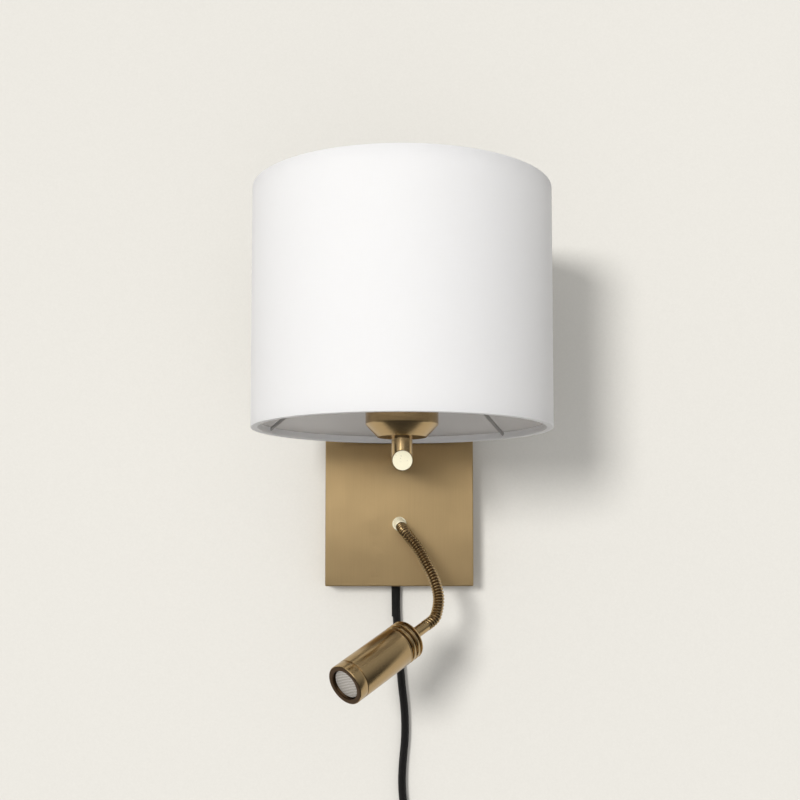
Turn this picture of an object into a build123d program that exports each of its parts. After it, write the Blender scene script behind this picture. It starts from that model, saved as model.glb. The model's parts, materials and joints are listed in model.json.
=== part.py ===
from build123d import *
import math
import os

# Bedside wall reading lamp, in millimetres. The origin is the centre of the wall plate's back, on the wall.
# +X points to the right, +Y into the wall and +Z up, so the lamp reaches out towards -Y.

# ---- Wall plate: a pressed brass tray over a steel bracket
plate_side = 110.0
plate_depth = 20.0
plate_wall = 1.5
plate_corner_radius = 1.0
plate_edge_radius = 0.6
fit_gap = 0.1  # between pieces that are pushed together by hand
bracket_thick = 1.2
bracket_margin = 1.6  # from the tray's inner wall to the bracket's edge
ear_width = 14.0
ear_depth = 13.0
ear_rise = 8.0  # of the ears above the plate's centre
cover_screw_dia = 3.5
cover_screw_sunk = 0.2  # below the tray's side
screw_slot = 0.8
screw_slot_deep = 0.9
wall_screw_hole_dia = 5.0
wall_screw_spacing = 64.0
wall_screw_rise = 38.0
notch_gap = 1.0  # of the bracket's notch beside the cord's outlet
notch_over_clamp = 4.0

# ---- Arm, riser and switch
arm_height = 30.2  # of the arm's axis where it crosses the riser's
arm_slope = 4.7  # degrees that the arm drops towards its front
arm_dia = 14.0
arm_bore = 9.9
arm_overhang = 7.5  # of the arm past the front of the riser
riser_high = 15.3  # from the arm's axis to the cup's flat bottom
riser_dia = 14.0
riser_bore = 10.0
arm_outlet_dia = 9.0  # of the hole in the arm under the riser
riser_lug = 2.0  # the riser's cut foot ends this far above the arm's axis
riser_nipple_gap = 0.8  # from the arm's top to the riser's nipple
nipple_dia = 9.8
nipple_bore = 7.0
nipple_in_arm = 16.0
nipple_inside_plate = 6.0
nipple_over_nut = 4.0  # in the lampholder
nut_flats = 14.0
nut_thick = 4.0
washer_dia = 18.0
washer_thick = 1.0
button_dia = 12.9
button_long = 5.0
button_proud = 2.0
button_travel = 1.8
button_stem_dia = 4.0
button_stem_long = 3.5
button_edge = 0.25
button_end_gap = 0.2  # left behind the button and its stem when it is pressed
stem_clearance = 0.4
switch_long = 4.5

# ---- Cup and lampholder
cup_flat_dia = 32.4
cup_dia = 48.6
cup_cone_high = 8.5
cup_high = 34.0
cup_wall = 1.2
base_dia = 38.0
base_high = 16.0
skirt_dia = 39.6
skirt_wall = 2.2
skirt_high = 36.0
skirt_lip = 1.6  # of the skirt's mouth round the screw shell
skirt_lip_high = 2.0
skirt_lip_slope = 1.5
skirt_grooves = 6
skirt_groove_start = 2.0  # above the shade ring
skirt_groove_pitch = 2.5
skirt_groove_wide = 1.2
skirt_groove_deep = 0.5
shell_bore = 27.3
shell_wall = 0.4
shell_high = 24.0
thread_pitch = 3.6
thread_deep = 0.6
insulator_high = 8.0
contact_width = 8.0
shade_ring_dia = 56.0
shade_ring_high = 9.0
shade_ring_flange = 2.0

# ---- Bulb
bulb_cap_dia = 26.2
bulb_cap_high = 25.0
bulb_dia = 60.0
bulb_high = 84.0  # glass above the cap
bulb_neck_dia = 30.0

# ---- Shade
shade_dia = 200.0
shade_high = 160.0
shade_drop = 28.5  # of its lower edge below the fitter
shade_plate_gap = 2.0  # between the shade's back and the plate's front
fabric_thick = 0.5
lining_thick = 0.5
hem_high = 4.6
ring_wire_dia = 3.0
spoke_dia = 2.4
spoke_angles = (40.0, 160.0, 280.0)
spoke_slope = 36.0
fitter_thick = 1.5
fitter_dia = 55.0
fitter_gap = 0.4  # round the lampholder's skirt
spoke_cup_gap = 0.4
spoke_bend_radius = 8.0
spoke_on_fitter = 2.0

# ---- Gooseneck
neck_root_height = -8.8
neck_root_way = (0.30, -0.82, -0.49)  # direction in which the hose leaves the bushing
bushing_dia = 10.4
bushing_long = 2.0
ferrule_dia = 8.6
ferrule_long = 4.0  # of the slanted ferrule in front of the bushing's flange
bushing_nut_flats = 12.0
bushing_nut_thick = 3.0
bushing_thread_dia = 8.9
neck_dia = 8.2
neck_valley_dia = 7.0
neck_bore = 4.0
neck_links = 7
ribs_per_link = 6
neck_joint_gap = 1.2
neck_end_straight = 7.0  # each end of the hose runs straight this far
stem_dia = 7.8
stem_long = 18.9
stem_in_head = 7.0
stem_bore = 4.0

# ---- Reading head, along its own axis from the rear
head_front = (-37.5, -125.5, -117.3)
head_direction = (-0.653, -0.625, -0.426)
head_dia = 28.2
head_long = 65.0
rear_cap_long = 13.3
rear_cap_end = 2.5
rear_edge_radius = 1.9
groove_places = (2.9, 7.1, 11.3)
groove_wide = 1.4
groove_deep = 0.9
groove_flare = 0.3
head_wall = 1.5
spigot_long = 3.5
spigot_wall = 1.0
bezel_long = 7.9
bezel_seam = 0.5
bezel_chamfer = 0.4
bezel_lip = 1.6
bezel_rim = 2.3  # width of the flat front ring
baffle_opening_dia = 20.3
baffle_long = 2.6
baffle_edge = 0.4
lens_dia = 22.0
lens_thick = 2.0
lens_dome = 1.0
lens_land = 0.5  # of flat glass beside the baffle's opening
reflector_high = 11.0
reflector_wall = 0.8
chip_side = 4.0
chip_thick = 1.0
board_dia = 22.0
board_thick = 1.6
heat_sink_long = 23.0
heat_sink_fins = 12
heat_sink_bore = 4.4
heat_sink_slot = (7.0, 1.4)
heat_sink_plain = 4.0  # of its front end, without slots
reflector_gap = 0.5  # inside the lens's edge
reflector_narrow = 3.6  # its radius at the LED
board_hole_dia = 2.4
board_hole_edge = 2.0

# ---- Cord, clamp, sleeve and plug
cord_dia = 5.8
outlet_x = -2.4
cord_from_wall = 3.4
sleeve_long = 23.0
sleeve_top_dia = 6.6
sleeve_end_dia = 6.1
grommet_wall = 1.3
clamp_width = 22.0
clamp_high = 7.0
clamp_over = 1.6
clamp_screw_dia = 3.0
clamp_screw_head_dia = 5.4
clamp_screw_head_thick = 1.6
clamp_screw_edge = 3.2  # from a clamp screw's axis to the clamp's end
clamp_edge_radius = 2.0
sleeve_below_clamp = 1.0
clamp_above_edge = 11.0  # from the plate's lower edge to the clamp
cord_above_clamp = 1.0  # of the cord's cut end inside the plate
# The hanging cord's route below its cut end, chosen by hand: x and z of each point.
cord_route = [
    (-2.4, -60.0),
    (-1.6, -85.0),
    (0.5, -106.0),
    (1.6, -126.0),
    (4.4, -148.0),
    (4.7, -168.0),
    (2.6, -187.0),
    (2.0, -205.0),
    (4.0, -222.0),
]
coil_centre = (3.0, -290.0)
coil_outer_radius = 42.0  # to the middle of the outermost turn
coil_turns = 8
turn_gap = 0.6
climb_dip = 1.4  # by which the innermost half turn, which climbs a layer, is drawn in
coil_join_angle = 135.0  # where the lead meets the first turn
coil_leave_angle = 180.0  # where the last turn runs straight down to the plug
tail_long = 44.0
tie_width = 12.0
tie_thick = 0.9
tie_gap = 0.4
plug_width = 35.3
plug_thick = 13.7
plug_long = 26.0
plug_neck_long = 10.0
plug_neck_dia = 9.0
pin_dia = 4.0
pin_long = 19.0
pin_spacing = 19.0

# ---- Electrical parts inside the plate
driver_size = (38.0, 14.0, 20.0)
driver_from_wall = 3.5  # from the tray's inner side
driver_over_clamp = 1.0
driver_edge_radius = 1.5
block_size = (30.0, 12.0, 16.0)
block_from_centre = 14.0
block_over_clamp = 11.0
block_poles = 3
terminal_screw_dia = 3.4
terminal_screw_long = 2.5
terminal_screw_sunk = 0.5
terminal_screw_spacing = 7.36
wire_dia = 2.4
lead_dia = 4.6
led_lead_dia = 3.2
core_spacing = 2.64  # between the cord's two cores where they leave it
core_start = 0.2  # of the cores above the cord's cut end
core_turns_over_clamp = (9.0, 5.0)  # of each core's level run above the clamp
core_in_block = 3.0
core_bend_radius = 2.5
lead_in_block = 2.0
feed_bend_radius = 5.0
feed_in_driver = 15.2  # from the driver's right end to where the feed goes in
led_lead_bend_radius = 4.0
led_lead_below_top = 4.0  # of the driver
lamp_lead_bend_radii = (5.0, 4.5, 4.5)
lamp_lead_over_nipple = 2.5


def block(low, high):
    """A box between two corners."""
    centre = [(a + b) / 2 for a, b in zip(low, high)]
    size = [b - a for a, b in zip(low, high)]
    return Pos(*centre) * Box(*size)


def rod(start, end, dia):
    """A round bar between two points."""
    along = Vector(*end) - Vector(*start)
    section = Plane(origin=start, z_dir=along.normalized()) * Circle(dia / 2)
    return extrude(section, along.length)


def tube(start, end, dia, bore):
    """A round tube between two points."""
    return rod(start, end, dia) - rod(start, end, bore)


def turned(points, place=Location()):
    """A body of revolution about Z, from (radius, height) points."""
    outline = make_face(Polyline(*[(r, 0, h) for r, h in points], close=True))
    return place * revolve(outline, Axis.Z)


def hex_nut(start, direction, flats, thick, bore):
    """A hexagonal nut whose first face is at start."""
    place = Plane(origin=start, z_dir=direction)
    section = RegularPolygon(flats / 2, 6, major_radius=False) - Circle(bore / 2)
    return extrude(place * section, thick)


def lead(points, radii, dia):
    """A round wire along straight runs joined by arcs."""
    path = FilletPolyline(*points, radius=radii)
    start = Plane(origin=path @ 0, z_dir=path % 0)
    return sweep(start * Circle(dia / 2), path=path)


# ================================================================ places that follow from the sizes
riser_reach = plate_depth + shade_plate_gap + shade_dia / 2  # from the wall to the riser's axis
cup_bottom = arm_height + riser_high
cup_top = cup_bottom + cup_high
shade_bottom = cup_top - shade_drop

# ================================================================ wall plate
plate_half = plate_side / 2
plate_front = -plate_depth
plate_inner_front = plate_front + plate_wall
plate_inner_half = plate_half - plate_wall
bracket_half = plate_inner_half - bracket_margin
outlet_width = sleeve_top_dia + 2 * fit_gap + 2 * grommet_wall
arm_hole_dia = nipple_dia + 2 * fit_gap
arm_way = Vector(0, math.cos(math.radians(arm_slope)), math.sin(math.radians(arm_slope)))
bushing_hole_dia = bushing_thread_dia + 2 * fit_gap
clamp_low = -plate_half + clamp_above_edge
clamp_top = clamp_low + clamp_high
driver_corner = (-plate_inner_half + driver_from_wall, clamp_top + driver_over_clamp)  # x and z
block_corner = (block_from_centre, clamp_top + block_over_clamp)  # x and z
block_middle = block_corner[1] + block_size[2] / 2
terminal_screw_levels = [block_middle + side * terminal_screw_spacing / 2 for side in (-1, 1)]


def arm_point(distance):
    """A point on the arm's axis, a distance from the riser's axis towards the wall."""
    return Vector(0, -riser_reach, arm_height) + arm_way * distance


arm_root = (riser_reach + plate_front) / arm_way.Y  # where the axis meets the plate's front
arm_root_inside = (riser_reach + plate_inner_front) / arm_way.Y


def wall_plate_cover():
    """Square brass tray with its open side on the wall."""
    tray = block((-plate_half, plate_front, -plate_half), (plate_half, 0, plate_half))
    tray = fillet(tray.edges().filter_by(Axis.Y), plate_corner_radius)
    tray = fillet(tray.faces().sort_by(Axis.Y)[0].edges(), plate_edge_radius)
    inner = plate_inner_half
    tray -= block((-inner, plate_inner_front, -inner), (inner, 0, inner))
    tray -= rod(arm_point(arm_root - plate_wall), arm_point(arm_root_inside + plate_wall), arm_hole_dia)
    root = neck_root_height
    tray -= rod((0, plate_front, root), (0, plate_inner_front, root), bushing_hole_dia)
    half = outlet_width / 2
    slot_low = (outlet_x - half, -cord_from_wall, -plate_half)
    tray -= block(slot_low, (outlet_x + half, 0, -inner))
    tray -= rod((outlet_x, -cord_from_wall, -plate_half), (outlet_x, -cord_from_wall, -inner), outlet_width)
    for side in (-1, 1):
        start = (side * inner, -ear_depth / 2, ear_rise)
        tray -= rod(start, (side * plate_half, -ear_depth / 2, ear_rise), cover_screw_dia + 2 * fit_gap)
    return tray


def wall_bracket():
    """Steel back plate with two bent ears, wall screw holes and a notch round the cord."""
    half = bracket_half
    plate = block((-half, -bracket_thick, -half), (half, 0, half))
    notch = outlet_width / 2 + notch_gap
    notch_top = clamp_top + notch_over_clamp
    plate -= block((outlet_x - notch, -bracket_thick, -half), (outlet_x + notch, 0, notch_top))
    for side in (-1, 1):
        hole = side * wall_screw_spacing / 2
        plate -= rod((hole, -bracket_thick, wall_screw_rise), (hole, 0, wall_screw_rise), wall_screw_hole_dia)
        inside = side * (half - bracket_thick)
        low_x, high_x = sorted((inside, side * half))
        low_z = ear_rise - ear_width / 2
        ear = block((low_x, -ear_depth, low_z), (high_x, -bracket_thick, low_z + ear_width))
        start = (inside, -ear_depth / 2, ear_rise)
        ear -= rod(start, (side * half, -ear_depth / 2, ear_rise), cover_screw_dia)
        plate += ear
    return plate


def cover_screws():
    """Two slotted grub screws, flush in the tray's sides, that go into the bracket's ears."""
    screws = []
    for side in (-1, 1):
        middle = (-ear_depth / 2, ear_rise)
        outer = side * (plate_half - cover_screw_sunk)
        shank = rod((side * (bracket_half - bracket_thick), *middle), (outer, *middle), cover_screw_dia)
        low_x, high_x = sorted((outer, outer - side * screw_slot_deep))
        low_y, high_y = middle[0] - cover_screw_dia, middle[0] + cover_screw_dia
        low_z, high_z = middle[1] - screw_slot / 2, middle[1] + screw_slot / 2
        screws.append(shank - block((low_x, low_y, low_z), (high_x, high_y, high_z)))
    return screws[0] + screws[1]


def led_driver():
    """Sealed constant-current driver for the reading light, stuck to the bracket."""
    wide, deep, high = driver_size
    x, z = driver_corner
    case = block((x, -bracket_thick - deep, z), (x + wide, -bracket_thick, z + high))
    return fillet(case.edges().filter_by(Axis.Y), driver_edge_radius)


def terminal_block():
    """Three-pole terminal block with wire holes and screw wells."""
    wide, deep, high = block_size
    x, z = block_corner
    front = -bracket_thick - deep
    body = block((x, front, z), (x + wide, -bracket_thick, z + high))
    for pole in range(block_poles):
        pole_x = x + wide * (pole + 0.5) / block_poles
        body -= rod((pole_x, terminal_y, z), (pole_x, terminal_y, z + high), lead_dia)
        for well_z in terminal_screw_levels:
            body -= rod((pole_x, front, well_z), (pole_x, terminal_y, well_z), terminal_screw_dia + 2 * fit_gap)
    return body


def terminal_screws():
    """Six clamping screws in the terminal block's wells."""
    wide, deep = block_size[:2]
    x = block_corner[0]
    head_y = -bracket_thick - deep + terminal_screw_sunk
    screws = Part()
    for pole in range(block_poles):
        pole_x = x + wide * (pole + 0.5) / block_poles
        for well_z in terminal_screw_levels:
            end_y = head_y + terminal_screw_long
            screws += rod((pole_x, head_y, well_z), (pole_x, end_y, well_z), terminal_screw_dia)
    return screws


terminal_y = -bracket_thick - block_size[1] / 2
clamp_y = -cord_from_wall - cord_dia / 2 - clamp_over
cord_top = clamp_top + cord_above_clamp


def cord_clamp():
    """Saddle that grips the cord inside the plate."""
    half = clamp_width / 2
    saddle = block(
        (outlet_x - half, clamp_y, clamp_low), (outlet_x + half, -bracket_thick, clamp_top)
    )
    saddle = fillet(saddle.edges().filter_by(Axis.Z).group_by(Axis.Y)[0], clamp_edge_radius)
    bore = cord_dia + 2 * fit_gap
    middle = (outlet_x, -cord_from_wall)
    saddle -= rod((*middle, clamp_low), (*middle, clamp_top), bore)
    saddle -= block(
        (outlet_x - bore / 2, -cord_from_wall, clamp_low), (outlet_x + bore / 2, 0, clamp_top)
    )
    for x in clamp_screw_places:
        hole_z = clamp_low + clamp_high / 2
        saddle -= rod((x, clamp_y, hole_z), (x, -bracket_thick, hole_z), clamp_screw_dia)
    return saddle


clamp_screw_places = [outlet_x + side * (clamp_width / 2 - clamp_screw_edge) for side in (-1, 1)]


def clamp_screws():
    """Two pan-head screws in the cord clamp."""
    screws = Part()
    hole_z = clamp_low + clamp_high / 2
    for x in clamp_screw_places:
        shank = rod((x, -bracket_thick, hole_z), (x, clamp_y, hole_z), clamp_screw_dia)
        top_y = clamp_y - clamp_screw_head_thick
        head = rod((x, clamp_y, hole_z), (x, top_y, hole_z), clamp_screw_head_dia)
        screws += shank + head
    return screws


def cord_grommet():
    """Rubber lining of the outlet slot in the plate's lower wall, open to the wall."""
    half = outlet_width / 2
    low, high = -plate_half, -plate_inner_half
    lining = block((outlet_x - half, -cord_from_wall, low), (outlet_x + half, 0, high))
    lining += rod((outlet_x, -cord_from_wall, low), (outlet_x, -cord_from_wall, high), outlet_width)
    bore = sleeve_top_dia + 2 * fit_gap
    lining -= rod((outlet_x, -cord_from_wall, low), (outlet_x, -cord_from_wall, high), bore)
    lining -= block((outlet_x - bore / 2, -cord_from_wall, low), (outlet_x + bore / 2, 0, high))
    return lining - block((outlet_x - half, 0, low), (outlet_x + half, outlet_width, high))


def cord_sleeve():
    """Tapered shrink sleeve on the textile cord where it leaves the plate."""
    top = clamp_low - sleeve_below_clamp
    straight = -plate_half
    end = straight - sleeve_long
    bore = cord_dia / 2 + fit_gap / 2
    outline = [
        (bore, end),
        (sleeve_end_dia / 2, end),
        (sleeve_top_dia / 2, straight),
        (sleeve_top_dia / 2, top),
        (bore, top),
    ]
    return turned(outline, Pos(outlet_x, -cord_from_wall, 0))


def mains_wires():
    """Two conductors from the cord's end to the terminal block."""
    wide = block_size[0]
    x, z = block_corner
    wires = Part()
    for index in (1, 0):
        turn_z = clamp_top + core_turns_over_clamp[index]
        start_x = outlet_x + (index - 0.5) * core_spacing
        pole_x = x + wide * (index + 0.5) / block_poles
        y = -cord_from_wall
        points = [
            (start_x, y, cord_top + core_start),
            (start_x, y, turn_z),
            (pole_x, terminal_y, turn_z),
            (pole_x, terminal_y, z + core_in_block),
        ]
        wires += lead(points, core_bend_radius, wire_dia)
    return wires


def feed_lead():
    """Lead from the terminal block over the gooseneck's nut to the driver."""
    x, z = block_corner
    start_x = x + block_size[0] * 0.5 / block_poles
    end_x = driver_corner[0] + driver_size[0] - feed_in_driver
    over_z = neck_root_height + bushing_nut_flats
    top = z + block_size[2]
    points = [
        (start_x, terminal_y, top - lead_in_block),
        (start_x, terminal_y, over_z),
        (end_x, terminal_y, over_z),
        (end_x, terminal_y, driver_corner[1] + driver_size[2]),
    ]
    return lead(points, feed_bend_radius, led_lead_dia)


def led_lead():
    """Lead from the driver into the gooseneck's bushing."""
    start_x = driver_corner[0] + driver_size[0]
    y = -bracket_thick - led_lead_dia
    low_z = driver_corner[1] + driver_size[2] - led_lead_below_top
    points = [
        (start_x, y, low_z),
        (0, y, low_z),
        (0, y, neck_root_height),
        (0, plate_front, neck_root_height),
    ]
    return lead(points, led_lead_bend_radius, led_lead_dia)


# ================================================================ arm, riser and switch
arm_front = -riser_dia / 2 - arm_overhang  # distances along the arm's axis
button_face = arm_front - button_proud
button_rear = button_face + button_long
switch_start = button_rear + button_travel + button_end_gap
arm_nut_start = arm_root_inside + washer_thick + washer_dia / 2 * math.tan(math.radians(arm_slope))


def arm_tube():
    """Sloped brass tube, counterbored for the push button, with a hole under the riser."""
    rear = arm_point(arm_root + arm_dia)
    arm = tube(arm_point(arm_front), rear, arm_dia, arm_bore)
    arm -= block((-arm_dia, plate_front, rear.Z - 2 * arm_dia), (arm_dia, 0, rear.Z + arm_dia))
    arm -= rod(arm_point(arm_front), arm_point(switch_start), button_dia + 2 * fit_gap)
    return arm - rod((0, -riser_reach, arm_height), (0, -riser_reach, arm_height + arm_dia), arm_outlet_dia)


def arm_nipple():
    """Hollow threaded rod that ties the arm to the wall plate."""
    end = arm_point(arm_root_inside + nipple_inside_plate)
    return tube(arm_point(arm_root - nipple_in_arm), end, nipple_dia, nipple_bore)


def arm_washer():
    """Bevelled washer between the plate's inner face and the sloped nut."""
    washer = tube(arm_point(arm_root - washer_dia), arm_point(arm_nut_start), washer_dia, arm_hole_dia)
    root, far = arm_point(arm_root_inside), 2 * washer_dia
    return washer - block((-far, root.Y - far, root.Z - far), (far, root.Y, root.Z + far))


def arm_nut():
    """Nut on the arm's nipple inside the plate."""
    return hex_nut(arm_point(arm_nut_start), arm_way, nut_flats, nut_thick, nipple_dia)


def switch_button():
    """Polished disc in the arm's front end, on a plain stem."""
    cap = rod(arm_point(button_face), arm_point(button_rear), button_dia)
    cap = chamfer(cap.faces().sort_by(Axis.Y)[0].edges(), button_edge)
    return cap + rod(arm_point(button_rear), arm_point(button_rear + button_stem_long), button_stem_dia)


def switch_body():
    """Push switch in the arm's bore behind the button."""
    body = rod(arm_point(switch_start), arm_point(switch_start + switch_long), arm_bore - 2 * fit_gap)
    well_end = button_rear + button_stem_long + button_travel + button_end_gap
    return body - rod(arm_point(switch_start), arm_point(well_end), button_stem_dia + stem_clearance)


def riser_tube():
    """Upright tube, its foot cut round to sit on the arm."""
    foot = arm_height + riser_lug
    riser = tube((0, -riser_reach, foot), (0, -riser_reach, cup_bottom), riser_dia, riser_bore)
    return riser - rod(arm_point(arm_front), arm_point(arm_root), arm_dia)


cup_floor = cup_bottom + cup_wall
riser_nut_top = cup_floor + nut_thick
nipple_top = riser_nut_top + nipple_over_nut


def riser_nipple():
    """Hollow threaded rod from the riser into the lampholder."""
    start = arm_height + arm_dia / 2 + riser_nipple_gap
    return tube((0, -riser_reach, start), (0, -riser_reach, nipple_top), nipple_dia, nipple_bore)


def riser_nut():
    """Nut that clamps the cup to the riser."""
    start = (0, -riser_reach, cup_floor)
    return hex_nut(start, (0, 0, 1), nut_flats, nut_thick, nipple_dia)


def lamp_lead():
    """Two-core lead from the terminal block through the arm to the lampholder."""
    start_x = block_corner[0] + block_size[0] * (block_poles - 0.5) / block_poles
    top = block_corner[1] + block_size[2]
    entry = arm_point((riser_reach + terminal_y) / arm_way.Y)
    points = [
        (start_x, terminal_y, top - lead_in_block),
        (start_x, terminal_y, entry.Z),
        tuple(entry),
        (0, -riser_reach, arm_height),
        (0, -riser_reach, nipple_top + lamp_lead_over_nipple),
    ]
    return lead(points, list(lamp_lead_bend_radii), lead_dia)


# ================================================================ cup, lampholder and bulb
axis_place = Pos(0, -riser_reach, 0)
base_bottom = riser_nut_top
base_top = base_bottom + base_high
skirt_top = base_top + skirt_high
shell_bottom = base_top + 1
cap_bottom = shell_bottom + 2
cap_top = cap_bottom + bulb_cap_high
fitter_bottom = cup_top
ring_bottom = fitter_bottom + fitter_thick


def holder_cup():
    """Spun brass cup: flat bottom, cone and cylinder, open at the top."""
    flat, side = cup_flat_dia / 2, cup_dia / 2
    hole = nipple_dia / 2 + fit_gap
    edge = cup_bottom + cup_cone_high
    slant = cup_wall * math.tan(math.radians(22.5))
    outline = [
        (hole, cup_bottom),
        (flat, cup_bottom),
        (side, edge),
        (side, cup_top),
        (side - cup_wall, cup_top),
        (side - cup_wall, edge + slant),
        (flat - slant, cup_floor),
        (hole, cup_floor),
    ]
    return turned(outline, axis_place)


def lampholder_base():
    """Lower half of the lampholder, screwed on the nipple."""
    outer, hole = base_dia / 2, nipple_dia / 2
    outline = [
        (hole, base_bottom),
        (outer - 3, base_bottom),
        (outer, base_bottom + 3),
        (outer, base_top),
        (outer - 2, base_top),
        (outer - 2, nipple_top - 1.5),
        (hole, nipple_top - 1.5),
    ]
    return turned(outline, axis_place)


def lampholder_insulator():
    """Ceramic disc that carries the contacts, inside the base."""
    outer = base_dia / 2 - 2 - fit_gap
    low = base_top - insulator_high
    disc = turned([(0, low), (outer, low), (outer, base_top), (0, base_top)])
    disc -= Pos(0, 0, base_top - 0.5) * Box(contact_width + 0.4, 2 * outer - 8, 1)
    for side in (-1, 1):
        hole = Pos(side * outer * 0.6, 0, base_top - insulator_high / 2)
        disc -= hole * Cylinder(1.8, insulator_high)
    return axis_place * disc


def lampholder_contact():
    """Sprung centre contact in the insulator's slot."""
    y = -riser_reach
    half = contact_width / 2
    strip = block((-half, y - 9, base_top - 1), (half, y + 9, base_top - 0.4))
    return strip + block((-half, y - 3, base_top - 0.4), (half, y + 3, cap_bottom - 0.4))


def threaded_wall(bore_radius, wall, low, high):
    """Outline of a thin wall that swells outwards at each thread, from its bore radius."""
    turns = int((high - low) / thread_pitch)
    crest = thread_deep
    outer, inner = [], []
    for turn in range(turns):
        start = low + turn * thread_pitch
        for share, swell in ((0, 0), (0.25, 0), (0.5, crest), (0.75, crest)):
            inner.append((bore_radius + swell, start + share * thread_pitch))
            outer.append((bore_radius + wall + swell, start + share * thread_pitch))
    inner.append((bore_radius, high))
    outer.append((bore_radius + wall, high))
    return inner + outer[::-1]


def lampholder_shell():
    """Rolled screw shell for the bulb's cap."""
    outline = threaded_wall(shell_bore / 2, shell_wall, shell_bottom, shell_bottom + shell_high)
    return turned(outline, axis_place)


def lampholder_skirt():
    """Upper half of the lampholder, threaded outside for the shade ring."""
    outer = skirt_dia / 2
    inner = outer - skirt_wall
    mouth = shell_bore / 2 + skirt_lip
    lip = skirt_top - skirt_lip_high
    outline = [
        (inner, base_top),
        (outer, base_top),
        (outer, skirt_top),
        (mouth, skirt_top),
        (mouth, lip),
        (inner, lip - skirt_lip_slope),
    ]
    skirt = turned(outline)
    half = skirt_groove_wide / 2
    for turn in range(skirt_grooves):
        ring_z = ring_bottom + shade_ring_high + skirt_groove_start + turn * skirt_groove_pitch
        beyond = outer + skirt_groove_wide
        groove = [(outer - skirt_groove_deep, ring_z), (outer, ring_z - half), (beyond, ring_z - half)]
        skirt -= turned([*groove, (beyond, ring_z + half), (outer, ring_z + half)])
    return axis_place * skirt


def shade_ring():
    """Ring nut that clamps the shade's fitter on the cup's rim."""
    bore = skirt_dia / 2 + fit_gap
    outer = shade_ring_dia / 2
    collar = bore + 3
    outline = [
        (bore, ring_bottom),
        (outer, ring_bottom),
        (outer, ring_bottom + shade_ring_flange),
        (collar, ring_bottom + shade_ring_flange),
        (collar, ring_bottom + shade_ring_high),
        (bore, ring_bottom + shade_ring_high),
    ]
    ring = turned(outline)
    for index in range(12):
        notch = Rot(0, 0, index * 30) * Pos(outer, 0, ring_bottom + shade_ring_flange / 2)
        ring -= notch * Box(2.4, 3, shade_ring_flange)
    return axis_place * ring


def bulb_cap():
    """Screw cap of the bulb with its insulated tip."""
    radius = bulb_cap_dia / 2
    valley = radius - thread_deep
    outline = [(0, cap_bottom), (4, cap_bottom), (5, cap_bottom + 1), (valley - 3, cap_bottom + 3)]
    start = cap_bottom + 4
    while start + thread_pitch < cap_top:
        outline += [(valley, start), (valley, start + 0.25 * thread_pitch)]
        outline += [(radius, start + 0.5 * thread_pitch), (radius, start + 0.75 * thread_pitch)]
        start += thread_pitch
    outline += [(radius, cap_top), (0, cap_top)]
    return turned(outline, axis_place)


def bulb_glass():
    """Pear-shaped frosted bulb."""
    radius, neck = bulb_dia / 2, bulb_neck_dia / 2 - 2
    top = cap_top + bulb_high
    globe_z = top - radius
    waist = cap_top + 0.28 * bulb_high
    shoulder = (radius * math.cos(math.radians(35)), globe_z - radius * math.sin(math.radians(35)))
    rise = Line((neck, 0, cap_top), (neck, 0, cap_top + 4))
    flare = Spline(
        (neck, 0, cap_top + 4),
        (neck + 3.5, 0, waist),
        (shoulder[0], 0, shoulder[1]),
        tangents=[(0, 0, 1), (math.sin(math.radians(35)), 0, math.cos(math.radians(35)))],
    )
    crown = ThreePointArc((shoulder[0], 0, shoulder[1]), (radius, 0, globe_z), (0, 0, top))
    close = Polyline((0, 0, top), (0, 0, cap_top), (neck, 0, cap_top))
    return axis_place * revolve(make_face([rise, flare, crown, *close.edges()]), Axis.Z)


# ================================================================ shade
shade_radius = shade_dia / 2
shade_top = shade_bottom + shade_high
lining_outer = shade_radius - fabric_thick
lining_inner = lining_outer - lining_thick
ring_radius = lining_inner - ring_wire_dia / 2
low_ring_z = shade_bottom + fabric_thick + ring_wire_dia / 2
high_ring_z = shade_top - fabric_thick - ring_wire_dia / 2
hem_outer = lining_inner - ring_wire_dia
hem_inner = hem_outer - fabric_thick


def wire_ring(height):
    """Steel ring at one end of the shade."""
    section = Plane(origin=(ring_radius, 0, height), x_dir=(-1, 0, 0), z_dir=(0, 1, 0))
    circle = section * Circle(ring_wire_dia / 2)
    return axis_place * revolve(circle, Axis.Z)


def spoke(angle, dia):
    """One bent spoke from the lower ring, up and in to the fitter ring."""
    level = fitter_bottom + fitter_thick - spoke_dia / 2
    start = (ring_radius, 0, low_ring_z)
    rise = level - low_ring_z
    knee = (ring_radius - rise / math.tan(math.radians(spoke_slope)), 0, level)
    end = (fitter_dia / 2 - spoke_on_fitter, 0, level)
    path = FilletPolyline(start, knee, end, radius=spoke_bend_radius)
    section = Plane(origin=path @ 0, z_dir=path % 0) * Circle(dia / 2)
    return axis_place * Rot(0, 0, angle) * sweep(section, path=path)


def shade_fabric():
    """Cloth drum with both edges folded in round the wire rings."""
    low, high = shade_bottom, shade_top
    outline = [
        (hem_inner, low + hem_high),
        (hem_inner, low),
        (shade_radius, low),
        (shade_radius, high),
        (hem_inner, high),
        (hem_inner, high - hem_high),
        (hem_outer, high - hem_high),
        (hem_outer, high - fabric_thick),
        (lining_outer, high - fabric_thick),
        (lining_outer, low + fabric_thick),
        (hem_outer, low + fabric_thick),
        (hem_outer, low + hem_high),
    ]
    cloth = turned(outline, axis_place)
    for angle in spoke_angles:
        cloth -= spoke(angle, spoke_dia + 2 * fit_gap)
    return cloth


def shade_lining():
    """Plastic film behind the cloth, which keeps the drum round."""
    low, high = shade_bottom + fabric_thick, shade_top - fabric_thick
    outline = [(lining_inner, low), (lining_outer, low), (lining_outer, high), (lining_inner, high)]
    return turned(outline, axis_place)


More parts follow.
